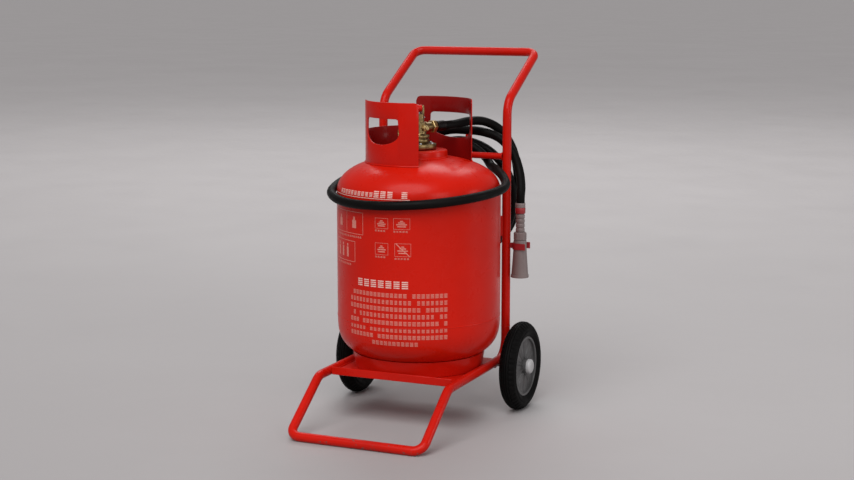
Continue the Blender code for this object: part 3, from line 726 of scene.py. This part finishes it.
def weigh_hose_end(path):
    """Works out weights that rise over the last stretch of hose toward the nozzle; they are not used."""
    left = [0.0] * len(path)
    for k in range(len(path) - 2, -1, -1):
        left[k] = left[k + 1] + (path[k + 1] - path[k]).length
    weights = []
    for distance in left:
        t = max(0.0, min(1.0, 1.0 - (distance - HOSE_STILL_TIP) / HOSE_FREE_END))
        weights += [t * t * (3.0 - 2.0 * t)] * HOSE_SIDES


# ---------------------------------------------------------------- vessel
def build_vessel():
    top = dome(VESSEL_R, SHELL_HIGH_Z, TOP_DOME_H, TOP_DOME_POWER, 40, NECK_BORE_R)
    low = dome(VESSEL_R, SHELL_LOW_Z, -LOW_DOME_H, LOW_DOME_POWER, 40)
    wall = [(VESSEL_R, SHELL_LOW_Z + (SHELL_HIGH_Z - SHELL_LOW_Z) * i / 12) for i in range(1, 12)]
    profile = list(reversed(low)) + wall + top + [(0.0, top[-1][1])]
    piece("vessel_body", lathe(profile, 160), VESSEL_RED, "vessel_shell", angle=50)

    seam = torus(VESSEL_R - 0.0006, 0.0013, 160, 8, Matrix.Translation((0.0, 0.0, SHELL_LOW_Z)))
    piece("vessel_weld_seam", seam, VESSEL_RED, slot="vessel_shell")

    ring = [(0.1603, 0.1596), (0.1628, 0.1596), (0.1612, 0.148), (0.1589, 0.1345),
            (0.1576, 0.124), (0.1572, 0.1222), (0.1562, 0.1216), (0.1543, 0.1216),
            (0.1537, 0.1224), (0.1545, 0.126), (0.1565, 0.1365), (0.1585, 0.1485)]
    piece("foot_skirt", lathe(ring, 160), RED, "foot_ring")
    boss = [(NECK_BORE_R, 0.6404), (0.045, 0.6395), (BOSS_R, 0.6369), (BOSS_R, 0.65), (0.0693, 0.6522),
            (0.0672, 0.6537), (0.0655, 0.654), (NECK_BORE_R, 0.654)]
    piece("neck_flange", lathe(boss, 96), VESSEL_RED, "neck_boss")
    weld = torus(BOSS_R, 0.0028, 96, 10, Matrix.Translation((0.0, 0.0, dome_height(BOSS_R))))
    piece("neck_weld", weld, VESSEL_RED, slot="neck_boss")


def dome_height(radius):
    """Height of the top dome at a radius."""
    share = (1.0 - (radius / VESSEL_R) ** TOP_DOME_POWER) ** (1.0 / TOP_DOME_POWER)
    return SHELL_HIGH_Z + TOP_DOME_H * share


def hole_edges(turn):
    """Lower and upper edge of the hand hole at a turn, or None outside both holes."""
    corner = math.degrees(HAND_HOLE_CORNER / COLLAR_R)
    for centre, half in HAND_HOLES:
        away = abs(turn - centre)
        if away > half:
            continue
        sag = math.sqrt(max(0.0, 1.0 - (away / half) ** 2))
        low = COLLAR_LOW_Z - (COLLAR_LOW_Z - HAND_HOLE_BOTTOM_Z) * sag
        near = max(0.0, (away - (half - corner)) / corner)
        drop = HAND_HOLE_CORNER * (1.0 - math.sqrt(max(0.0, 1.0 - near * near)))
        high = HAND_HOLE_TOP_Z - drop
        if near >= 1.0:
            low = high = COLLAR_LOW_Z
        return low, max(low, high)
    return None


def collar_top(turn):
    """Top edge of the collar, its corners rounded beside the gaps."""
    reach = math.radians(min(abs(turn - edge) for edge in COLLAR_EDGES)) * COLLAR_R
    short = max(0.0, COLLAR_CORNER - reach)
    return COLLAR_TOP_Z - COLLAR_CORNER + math.sqrt(COLLAR_CORNER ** 2 - short * short)


def turns_between(start, end, step):
    return [start + step * i for i in range(round((end - start) / step) + 1)]


def build_collar():
    """One rolled sheet, open at the front right, low at the back left, with two hand holes."""
    start, low_start, low_end, end = COLLAR_EDGES
    hole_ends = {centre + side * half for centre, half in HAND_HOLES for side in (-1, 1)}
    turns = sorted(set(turns_between(start, end, 1.5)) | {low_start, low_end} | hole_ends)
    bm = bmesh.new()
    columns = {}

    def column(turn):
        if turn not in columns:
            low, high = hole_edges(turn) or (COLLAR_LOW_Z, COLLAR_LOW_Z)
            heights = (COLLAR_BASE_Z, low, high, collar_top(turn))
            verts = []
            for i, z in enumerate(heights):
                same = i == 2 and abs(high - low) < 1e-6
                verts.append(verts[1] if same else bm.verts.new(around(COLLAR_R, turn, z)))
            columns[turn] = verts
        return columns[turn]

    for left, right in zip(turns, turns[1:]):
        low_wall = low_start <= left and right <= low_end
        a, b = column(left), column(right)
        bm.faces.new((a[0], b[0], b[1], a[1]))
        if not low_wall:
            bm.faces.new((a[2], b[2], b[3], a[3]))
    for v in [v for v in bm.verts if not v.link_faces]:
        bm.verts.remove(v)
    collar = piece("collar_sheet", bm, COLLAR_RED_SHADED_INSIDE, "guard_collar")
    thick = collar.modifiers.new("thickness", "SOLIDIFY")
    thick.thickness = COLLAR_WALL
    thick.offset = 0.0
    thick.use_even_offset = True
    round_edges(collar, 0.0008)
    bead = [around(COLLAR_R + 0.0016, turn, COLLAR_BASE_Z - GAP) for turn in turns_between(start, end, 2.0)]
    piece("collar_weld", sweep(bead, 0.0021, 8), RED, slot="guard_collar")


# ---------------------------------------------------------------- trolley frame
def mirrored_tube(points, radii):
    """Frame tube through (y, z) points up one side and down the other, with a bend of each radius."""
    left = [(-FRAME_X, y, z) for y, z in points]
    right = [(FRAME_X, y, z) for y, z in reversed(points)]
    return sweep(rounded_path(left + right, radii + radii[::-1]), FRAME_R, 32, TUBE_BORE)


def build_frame():
    bow = mirrored_tube([(UPRIGHT_Y, UPRIGHT_SPLIT_Z), (UPRIGHT_Y, HANDLE_BEND_Z), (REACH_Y, HANDLE_TOP_Z)],
                        [0.055, 0.026])
    piece("handle_tube", bow, RED, "handle_bow")
    loop = mirrored_tube([(UPRIGHT_Y, UPRIGHT_SPLIT_Z - GAP), (UPRIGHT_Y, RAIL_Z), (LEG_BEND_Y, RAIL_Z),
                          (-REACH_Y, FRAME_R)], [0.05, 0.045, 0.026])
    piece("foot_tube", loop, RED, "foot_loop")
    half = FRAME_X - FRAME_R - GAP
    bar = Matrix.Translation((0.0, UPRIGHT_Y, CROSSBAR_Z)) @ TO_X
    piece("cross_tube", lathe(pipe_section(0.0062, CROSSBAR_R, half), 28, bar), RED, "crossbar")
    axle = Matrix.Translation((0.0, AXLE_Y, WHEEL_R)) @ TO_X
    piece("axle_sleeve", lathe(pipe_section(BUSH_BORE, BUSH_R, half), 32, axle), RED, "axle_tube")
    plate = [(-0.1665, 0.114), (-0.1635, 0.114), (-0.1635, 0.1183), (0.1115, 0.1183), (0.1115, 0.1213),
             (-0.1635, 0.1213), (-0.1635, 0.133), (-0.1665, 0.133)]
    piece("tray_plate", prism(plate, "x", -half, half), RED, "base_plate", bevel=0.0012)
    build_welds(half)
    hook = rounded_path([(0.02, 0.1656, 0.631), (0.02, 0.172, 0.638), (0.02, 0.26, 0.638),
                         (0.02, 0.264, 0.6885)], [0.006, 0.012], 8)
    radii = [0.005] * len(hook) + [0.0048, 0.004, 0.0022]
    hook += [hook[-1] + Vector((0.0, 0.0, 0.0005 * i)) for i in (1, 2, 3)]
    piece("hook_rod", sweep(hook, radii, 20), RED, "hose_hook")
    build_clip()


def build_welds(half):
    """Weld beads where the bars meet the uprights, on the tube joints and along the tray."""
    beads = []
    for side in (-1, 1):
        at_bar = Matrix.Translation((side * (half - 0.0012), UPRIGHT_Y, CROSSBAR_Z)) @ TO_X
        beads.append(torus(0.0082, 0.002, 28, 8, at_bar))
        at_joint = Matrix.Translation((side * FRAME_X, UPRIGHT_Y, UPRIGHT_SPLIT_Z))
        beads.append(torus(0.0107, 0.0011, 32, 8, at_joint))
        at_axle = Matrix.Translation((side * (half - 0.0015), AXLE_Y, WHEEL_R)) @ TO_X
        beads.append(torus(0.0112, 0.0022, 28, 8, at_axle))
        seam = [Vector((side * (half - 0.0005), -0.155 + 0.012 * i, 0.1222)) for i in range(22)]
        beads.append(sweep(seam, 0.0018, 8))
    piece("frame_welds", merged(*beads), RED, slot="foot_loop")


def build_clip():
    """U-shaped spring clip on a short arm; the open side faces away from the trolley."""
    x, y = NOZZLE_X, UPRIGHT_Y
    inner, outer = 0.0172, 0.019
    steps = 32
    mouth = x + 0.02
    bends = [math.pi * i / steps for i in range(steps + 1)]
    outline = [(mouth, y - outer)]
    outline += [(x - outer * math.sin(a), y - outer * math.cos(a)) for a in bends]
    outline += [(mouth, y + outer), (mouth, y + inner)]
    outline += [(x - inner * math.sin(a), y + inner * math.cos(a)) for a in bends]
    outline += [(mouth, y - inner)]
    strip = prism(outline, "z", NOZZLE_CLIP_Z - 0.008, NOZZLE_CLIP_Z + 0.008)
    arm = box(FRAME_X + FRAME_R - 0.0004, x - 0.0178, y - 0.006, y + 0.006,
              NOZZLE_CLIP_Z - 0.006, NOZZLE_CLIP_Z + 0.006)
    piece("clip_strap", merged(strip, arm), CLIP_RED, "nozzle_clip", bevel=0.0004)


# ---------------------------------------------------------------- valve
def build_valve():
    profile = [(0.0, 0.63), (0.0205, 0.63), (0.0205, 0.6556), (0.039, 0.6556), (0.042, 0.6562),
               (0.043, 0.658), (0.043, 0.666), (0.0422, 0.6678), (0.04, 0.6685), (0.021, 0.669),
               (0.02, 0.6697), (0.02, 0.6706), (0.021, 0.6713), (0.0254, 0.6718), (0.026, 0.6728),
               (0.026, 0.6782), (0.0254, 0.6794), (0.0221, 0.68), (0.0215, 0.6806), (0.0215, 0.6816),
               (0.0221, 0.6822), (0.0254, 0.6827), (0.026, 0.6837), (0.026, 0.688), (0.0252, 0.6893),
               (0.019, 0.691), (0.018, 0.6925), (0.018, 0.719), (0.0172, 0.72), (0.0, 0.72)]
    body = lathe(profile, 72)
    neck = [(0.0, 0.008), (0.0135, 0.008), (0.0135, 0.0215), (0.0115, 0.024), (0.0115, 0.04), (0.0, 0.04)]
    outlet = lathe(neck, 40, along(OUTLET_TURN, OUTLET_Z))
    port = [(0.0, 0.008), (0.0082, 0.008), (0.0082, 0.0225), (0.0065, 0.0245), (0.0065, 0.03), (0.0, 0.03)]
    gauge_port = lathe(port, 32, along(GAUGE_TURN, GAUGE_Z))
    # the casting's dark brass is partly painted shade
    piece("valve_casting", merged(body, outlet, gauge_port), SHADED_CAST_BRASS, "valve_body", bevel=0.0003)

    head = [(0.0, 0.6678), (0.004, 0.6678), (0.004, 0.6712), (0.0034, 0.6722), (0.0, 0.6722)]
    bolts = [lathe(head, 6, Matrix.Translation(around(0.0345, 30.0 + 60.0 * i, 0.0))) for i in range(6)]
    piece("flange_bolts", merged(*bolts), ZINC, slot="valve_body", bevel=0.0003)

    refined("outlet_union_nut", BRIGHT_BRASS, 0.0007)
    refined("relief_plug", BRIGHT_BRASS, 0.0005)
    ferrule = [(0.0064, 0.054), (0.0095, 0.054), (0.01, 0.0546), (0.01, 0.058), (0.0122, 0.0586),
               (0.0128, 0.0596)]
    for i in range(4):
        z = 0.0605 + 0.0058 * i
        ferrule += [(0.0128, z), (0.0121, z + 0.001), (0.0121, z + 0.0026), (0.0128, z + 0.0036)]
    ferrule += [(0.0128, 0.0834), (0.0124, 0.084), (0.0064, 0.084)]
    crimped = lathe(ferrule, 48, along(OUTLET_TURN, OUTLET_Z))
    # the ferrule's near-black tone is painted shade
    piece("outlet_ferrule", crimped, SHADED_FERRULE_STEEL, "hose_ferrule")
    build_gauge()
    build_bonnet()


def build_gauge():
    place = along(GAUGE_TURN, GAUGE_Z)
    case = [(0.0, 0.0303), (0.0065, 0.0303), (0.0065, 0.039), (0.008, 0.0402), (0.016, 0.0416),
            (0.0174, 0.0426), (0.018, 0.0442), (0.018, 0.053), (0.0176, 0.0538), (0.017, 0.054),
            (0.0164, 0.0538), (0.016, 0.053), (0.016, 0.045), (0.0, 0.045)]
    piece("gauge_housing", lathe(case, 72, place), BRIGHT_BRASS, "gauge_case")
    plate = [(0.0, 0.0453), (0.0156, 0.0453), (0.0156, 0.046), (0.0, 0.046)]
    piece("dial_plate", lathe(plate, 64, place), DIAL_WHITE, "gauge_dial")
    for start, end, finish, word in ((-130.0, -45.0, DIAL_RED, "low"), (-45.0, 45.0, DIAL_GREEN, "good"),
                                     (45.0, 130.0, DIAL_RED, "high")):
        sector = dial_patch(start, end, 0.0098, 0.0128, place)
        piece("dial_sector_" + word, sector, finish, slot="gauge_dial")
    marks = [-130.0 + 26.0 * i for i in range(11)]
    ticks = [dial_patch(middle - 1.6, middle + 1.6, 0.013, 0.0148, place) for middle in marks]
    piece("dial_ticks", merged(*ticks), DIAL_BLACK, slot="gauge_dial")
    refined("gauge_needle", DIAL_BLACK, 0.00015)
    hub = [(0.0, 0.0464), (0.002, 0.0464), (0.002, 0.0476), (0.0014, 0.048), (0.0, 0.048)]
    piece("needle_hub", lathe(hub, 24, place), ZINC, slot="gauge_needle")
    lens = [(0.0, 0.05), (0.0157, 0.05), (0.0157, 0.0514), (0.01, 0.0518), (0.0, 0.052)]
    piece("gauge_window", lathe(lens, 64, place), GLASS, "gauge_lens")


def dial_patch(start, end, r_in, r_out, place):
    """Thin raised arc on the dial face; degrees run clockwise from the top."""
    steps = max(1, int(abs(end - start) / 6))
    angles = [math.radians(90.0 - start - (end - start) * i / steps) for i in range(steps + 1)]
    outline = [(r_out * math.cos(a), r_out * math.sin(a)) for a in angles]
    outline += [(r_in * math.cos(a), r_in * math.sin(a)) for a in reversed(angles)]
    return prism(outline, "z", 0.0459, 0.0462, place)


def build_bonnet():
    refined("valve_bonnet", SHADED_CAST_BRASS, 0.0005)
    refined("lever_pivot_pin", ZINC, 0.0003)
    refined("valve_stem", ZINC, 0.0003)
    refined("valve_lever", RED, 0.0012)
    refined("safety_pin", ZINC, 0.0002)
    direction = turn_direction(LEVER_TURN)
    turn = Matrix.Rotation(math.atan2(direction.y, direction.x), 4, "Z")
    to_y = Matrix.Rotation(math.radians(-90), 4, "X")
    hang = Matrix.Translation((0.0, 0.0, PIN_Z)) @ turn @ Matrix.Translation((0.0, 0.0215, -0.0067)) @ to_y
    piece("ring_wire", torus(0.0095, 0.0012, 56, 14, hang), ZINC, "pull_ring")


# ---------------------------------------------------------------- wheels
def tyre_profile():
    """Section of the solid tyre: bead, bulged wall with a raised ring, shoulder and ribbed tread."""
    inner = RIM_R + GAP
    half = [(inner, 0.0165), (0.079, 0.0188), (0.083, 0.0204), (0.0845, 0.0212), (0.087, 0.0215),
            (0.0895, 0.0214), (0.0905, 0.0206), (0.0925, 0.0205), (0.0935, 0.0209), (0.0965, 0.0199),
            (0.0985, 0.019), (0.101, 0.0172), (0.104, 0.0148), (0.106, 0.0125), (0.1076, 0.0102),
            (0.1079, 0.0096), (0.106, 0.009), (0.106, 0.0078), (0.1086, 0.0072), (0.1096, 0.0058),
            (0.1099, 0.004), (0.108, 0.0034), (0.108, 0.002), (0.11, 0.0014)]
    return [(r, -w) for r, w in half] + [(r, w) for r, w in reversed(half)]


def shoulder_notch(radius, angle, height):
    """Cross grooves on both tread shoulders."""
    if radius < 0.1005 or abs(height) < 0.0095:
        return radius
    phase = (angle / (2.0 * math.pi) * 48.0) % 1.0
    return radius - 0.0022 if phase < 0.3 else radius


def build_wheels():
    """The axle, and on each end a wheel with its bush, inner washer, nut and cap."""
    rod = [(0.0, -0.25), (0.0066, -0.25), (AXLE_R, -0.2486), (AXLE_R, 0.2486), (0.0066, 0.25), (0.0, 0.25)]
    axle = Matrix.Translation((0.0, AXLE_Y, WHEEL_R)) @ TO_X
    piece("axle_bar", lathe(rod, 36, axle), DARK_STEEL, "axle_rod")
    bush = pipe_section(BUSH_BORE, BUSH_R, 0.0205)
    washer = [(BUSH_BORE, -0.0232), (0.0146, -0.0232), (0.015, -0.0228), (0.015, -0.0214), (0.0146, -0.021),
              (BUSH_BORE, -0.021)]
    cap = [(0.0146, 0.0203), (0.0176, 0.0203), (0.018, 0.0207), (0.018, 0.0262), (0.0174, 0.028),
           (0.016, 0.0296), (0.014, 0.0309), (0.011, 0.0316), (0.0, 0.032), (0.0, 0.03), (0.0135, 0.029),
           (0.0146, 0.0275)]
    for side, name in ((-1, "left"), (1, "right")):
        sideways = Matrix.Rotation(math.radians(90 * side), 4, "Y")
        outward = Matrix.Translation((side * WHEEL_X, AXLE_Y, WHEEL_R)) @ sideways
        tread = lathe(tyre_profile(), 240, outward, shoulder_notch)
        piece("tread_" + name, tread, TYRE, "tyre_" + name, angle=50)
        piece("spoked_rim_" + name, rim_mesh(outward), RIM_GREY, "rim_" + name, bevel=0.0006)
        piece("bush_liner_" + name, lathe(bush, 36, outward), BRONZE, "wheel_bush_" + name)
        piece("thrust_washer_" + name, lathe(washer, 40, outward), ZINC, "inner_washer_" + name)
        refined("axle_nut_" + name, ZINC, 0.0006)
        piece("cap_dome_" + name, lathe(cap, 64, outward), CAP_GREY, "hub_cap_" + name)


def rim_mesh(outward):
    """Moulded disc wheel: hub, dished web, flanged barrel and ten narrow ribs on each face."""
    hub = [(0.0113, -0.02), (0.0184, -0.02), (0.019, -0.0194), (0.019, 0.0194), (0.0184, 0.02),
           (0.0113, 0.02)]
    face = [(0.018, 0.011), (0.024, 0.01), (0.03, 0.0088), (0.04, 0.008), (0.05, 0.0076),
            (0.06, 0.008), (0.065, 0.009), (0.069, 0.0104)]
    web = face + [(r, -z) for r, z in reversed(face)]
    barrel = [(0.0684, -0.015), (0.0692, -0.016), (0.0738, -0.016), (RIM_R, -0.0152), (RIM_R, 0.0152),
              (0.0738, 0.016), (0.0692, 0.016), (0.0684, 0.015)]
    dished = lathe(web, 160)
    for v in dished.verts:
        radius = v.co.to_2d().length
        if 0.024 < radius < 0.064:
            lobe = abs(math.sin(RIB_COUNT / 2.0 * math.atan2(v.co.y, v.co.x)))
            v.co.z += math.copysign(0.003 * (1.0 - lobe) - 0.0022 * lobe, v.co.z)
    rib = [(0.017, -0.015), (0.026, -0.0112), (0.067, -0.0104), (0.069, -0.0112), (0.069, 0.0112),
           (0.067, 0.0104), (0.026, 0.0112), (0.017, 0.015)]
    ribs = [prism(rib, "y", -0.0013, 0.0013, Matrix.Rotation(2.0 * math.pi * i / RIB_COUNT, 4, "Z"))
            for i in range(RIB_COUNT)]
    whole = merged(lathe(hub, 56), dished, lathe(barrel, 120), *ribs)
    whole.transform(outward)
    return whole


# ---------------------------------------------------------------- nozzle
def build_nozzle():
    """Turned pieces from the hose end down to the horn; returns the ones that stay on the hose."""
    place = Matrix.Translation((NOZZLE_X, UPRIGHT_Y, 0.0))

    def turned(name, profile, material, node, segments=56, shape=None, angle=38):
        return piece(name, lathe(profile, segments, place, shape), material, node, angle=angle)

    ferrule = [(0.006, 0.5027), (0.0121, 0.5027), (0.0125, 0.5031), (0.0125, 0.506), (0.0119, 0.5066),
               (0.0119, 0.5078), (0.0125, 0.5084), (0.0125, 0.5126), (0.0116, NOZZLE_TOP_Z),
               (0.006, NOZZLE_TOP_Z)]
    ends = [turned("end_ferrule", ferrule, NOZZLE_GREY_RED_REFLECTION, "nozzle_ferrule")]
    band = [(0.006, 0.4876), (0.0118, 0.4876), (0.0127, 0.489), (0.0127, 0.501), (0.0118, 0.5024),
            (0.006, 0.5024)]
    ends.append(turned("swivel_band", band, CLIP_RED, "nozzle_band"))
    grip = [(0.006, 0.4415)]
    for i in range(4):
        z = 0.4415 + i * 0.0114
        grip += [(0.01, z), (0.0108, z + 0.0008), (0.0112, z + 0.0022), (0.0112, z + 0.0073),
                 (0.0108, z + 0.0087), (0.01, z + 0.0095)]
    grip += [(0.01, 0.4873), (0.006, 0.4873)]
    ends.append(turned("grip_barrel", grip, NOZZLE_GREY_RED_REFLECTION, "nozzle_grip"))
    sleeve = [(0.006, 0.4213), (0.0145, 0.4213), (0.0155, 0.4225), (0.0155, 0.4385), (0.013, 0.4412),
              (0.006, 0.4412)]
    turned("twist_sleeve", sleeve, NOZZLE_GREY_RED_REFLECTION, "shutoff_sleeve", 96, knurl, 25)
    horn = [(0.006, 0.42), (0.006, 0.421), (0.0146, 0.421), (0.0158, 0.4202), (0.0163, 0.418),
            (0.0165, 0.4)]
    horn += [(0.0165 + 0.0045 * (i / 6) ** 1.15, 0.4 - 0.066 * i / 6) for i in range(1, 7)]
    horn += [(0.0222, 0.3335), (0.0225, 0.3325), (0.0225, 0.3276), (0.0219, 0.327), (0.0206, 0.327),
             (0.02, 0.3276), (0.0145, 0.4), (0.013, 0.415)]
    ends.append(turned("horn_cone", horn, NOZZLE_GREY_RED_REFLECTION, "nozzle_horn"))
    return ends


def knurl(radius, angle, _height):
    """Lengthwise grip flutes round the sleeve."""
    return radius + 0.0005 if radius >= 0.015 and math.sin(24.0 * angle) > 0.0 else radius


# ---------------------------------------------------------------- printed label
def skin_patch(turn0, turn1, z0, z1, lean=0.0):
    """Thin raised patch on the vessel skin; lean shifts its top sideways, in degrees."""
    across = max(1, int(math.ceil(abs(turn1 - turn0) / 3.0)))
    up = max(1, int(math.ceil(abs(z1 - z0) / 0.012)))
    bm = bmesh.new()
    layers = []
    for offset in (PRINT_LIFT, PRINT_LIFT - PRINT_DEPTH):
        grid = []
        for i in range(up + 1):
            z = z0 + (z1 - z0) * i / up
            shift = lean * i / up
            radius = shell_radius(z) + offset
            row = [bm.verts.new(around(radius, turn0 + (turn1 - turn0) * k / across + shift, z))
                   for k in range(across + 1)]
            grid.append(row)
        layers.append(grid)
    outer, inner = layers
    for i in range(up):
        for k in range(across):
            bm.faces.new((outer[i][k], outer[i][k + 1], outer[i + 1][k + 1], outer[i + 1][k]))
            bm.faces.new((inner[i][k], inner[i + 1][k], inner[i + 1][k + 1], inner[i][k + 1]))
    join_rings(bm, border(outer), border(inner))
    return bm


def border(grid):
    """Outline of a vertex grid, in order."""
    loop = list(grid[0])
    loop += [row[-1] for row in grid[1:]]
    loop += list(reversed(grid[-1][:-1]))
    loop += [row[0] for row in reversed(grid[1:-1])]
    return loop


def skin_frame(turn0, turn1, z0, z1, line=0.0011):
    """Rectangular outline of four thin strips."""
    side = math.degrees(line / VESSEL_R)
    return [skin_patch(turn0, turn1, z0, z0 + line), skin_patch(turn0, turn1, z1 - line, z1),
            skin_patch(turn0, turn0 + side, z0 + line, z1 - line),
            skin_patch(turn1 - side, turn1, z0 + line, z1 - line)]


def mark(turn, width, z, height, kind):
    """A plain hatched block, four equal dashes, that stands for one printed sign without being one."""
    stroke = height * 0.17
    trim = (0.0, 0.06, 0.02, 0.1)[kind % 4] * width
    patches = []
    for level in range(4):
        centre = z + height * (level - 1.5) * 0.29
        patches.append(skin_patch(turn + trim, turn + width - trim, centre - stroke / 2.0,
                                  centre + stroke / 2.0))
    return patches


def mark_row(turn0, turn1, z, height, width, pitch, seed):
    """A row of block marks at one height, with a gap here and there."""
    patches = []
    count = int((turn1 - turn0) / pitch + 0.001)
    for i in range(count):
        kind = i * i * 5 + i * 3 + seed * 7
        if (i * 7 + seed * 5) % 19 != 3:
            patches += mark(turn0 + i * pitch, width, z, height, kind)
    return patches


def build_label():
    """Generic print: a heading, ruled frames, plain pictogram boxes and rows of block marks; no lettering."""
    heading = mark_row(-44.0, -8.0, 0.564, 0.0095, 2.6, 3.6, 2)
    heading += mark_row(-8.0, 17.5, 0.566, 0.014, 3.9, 5.1, 4)
    # a thin pale strip along the upper edge of the hose, in the heading's ink
    heading.append(skin_patch(-58.0, 18.0, 0.5545, 0.5561))
    piece("label_heading", merged(*heading), INK, slot="vessel_shell")

    frames = skin_frame(-52.0, -17.0, 0.466, 0.519) + skin_frame(-52.0, -25.0, 0.398, 0.448)
    frames += [skin_patch(-35.0, -34.7, 0.466, 0.519)]
    for turn in (-46.0, -28.0):
        frames.append(skin_patch(turn, turn + 4.2, 0.48, 0.499))
        frames.append(skin_patch(turn + 1.2, turn + 3.0, 0.499, 0.507))
    for turn in (-48.0, -41.5, -35.0):
        frames.append(skin_patch(turn, turn + 2.2, 0.408, 0.432))
        frames.append(skin_patch(turn + 0.4, turn + 1.8, 0.434, 0.44))
    frames += mark_row(-51.0, -18.0, 0.4595, 0.0042, 1.5, 2.2, 1)
    frames += mark_row(-51.0, -27.0, 0.391, 0.0042, 1.5, 2.2, 3)
    piece("label_frames", merged(*frames), FINE_INK, slot="vessel_shell")

    signs = []
    for turn0, turn1, z0, z1 in ((-6.8, 3.0, 0.486, 0.511), (6.8, 18.2, 0.486, 0.512),
                                 (-6.8, 3.0, 0.424, 0.452), (7.6, 18.8, 0.422, 0.453)):
        signs += skin_frame(turn0, turn1, z0, z1, 0.0007)
        signs += pictogram(turn0, turn1, z0, z1)
        signs += mark_row(turn0, turn1, z0 - 0.0052, 0.0036, 1.4, 2.1, 2)
    signs.append(skin_patch(17.4, 18.2, 0.423, 0.452, lean=-9.2))
    piece("label_signs", merged(*signs), FINE_INK, slot="vessel_shell")

    title = mark_row(-22.0, 24.5, 0.354, 0.0165, 4.3, 5.75, 6)
    piece("label_title", merged(*title), INK, slot="vessel_shell")
    rows = []
    for row in range(7):
        start = -30.0 + (3.1 if row in (0, 3) else 0.0)
        rows += mark_row(start, 46.5, 0.3285 - 0.0166 * row, 0.0092, 2.35, 3.1, row)
    rows += mark_row(-10.0, 26.0, 0.2123, 0.0092, 2.35, 3.1, 8)
    piece("label_rows", merged(*rows), FINE_INK, slot="vessel_shell")


def pictogram(turn0, turn1, z0, z1):
    """A plain tapering stack of bars inside a sign box."""
    width = turn1 - turn0
    middle = (turn0 + turn1) / 2.0
    bars = []
    for share, half in ((0.26, 0.26), (0.44, 0.32), (0.6, 0.2), (0.74, 0.09)):
        z = z0 + (z1 - z0) * share
        bars.append(skin_patch(middle - half * width, middle + half * width, z - 0.0013, z + 0.0013))
    return bars


# ---------------------------------------------------------------- carried-over CAD nodes
def finish_cad_nodes():
    """Give every node of the frame a material: rubber for the gasket, zinc for the dip tube and red enamel
    for the rest; most are hidden behind finer pieces.
    """
    finishes = {"valve_gasket": GASKET, "dip_tube": ZINC}
    for name, obj in frame["nodes"].items():
        for slot in obj.material_slots:
            slot.material = finishes.get(name, RED)


build_camera()
hose, hose_exit, hose_path = build_hose()
build_floor()
build_light()
build_vessel()
build_collar()
build_frame()
build_valve()
build_wheels()
nozzle_pieces = build_nozzle()
build_label()
finish_cad_nodes()
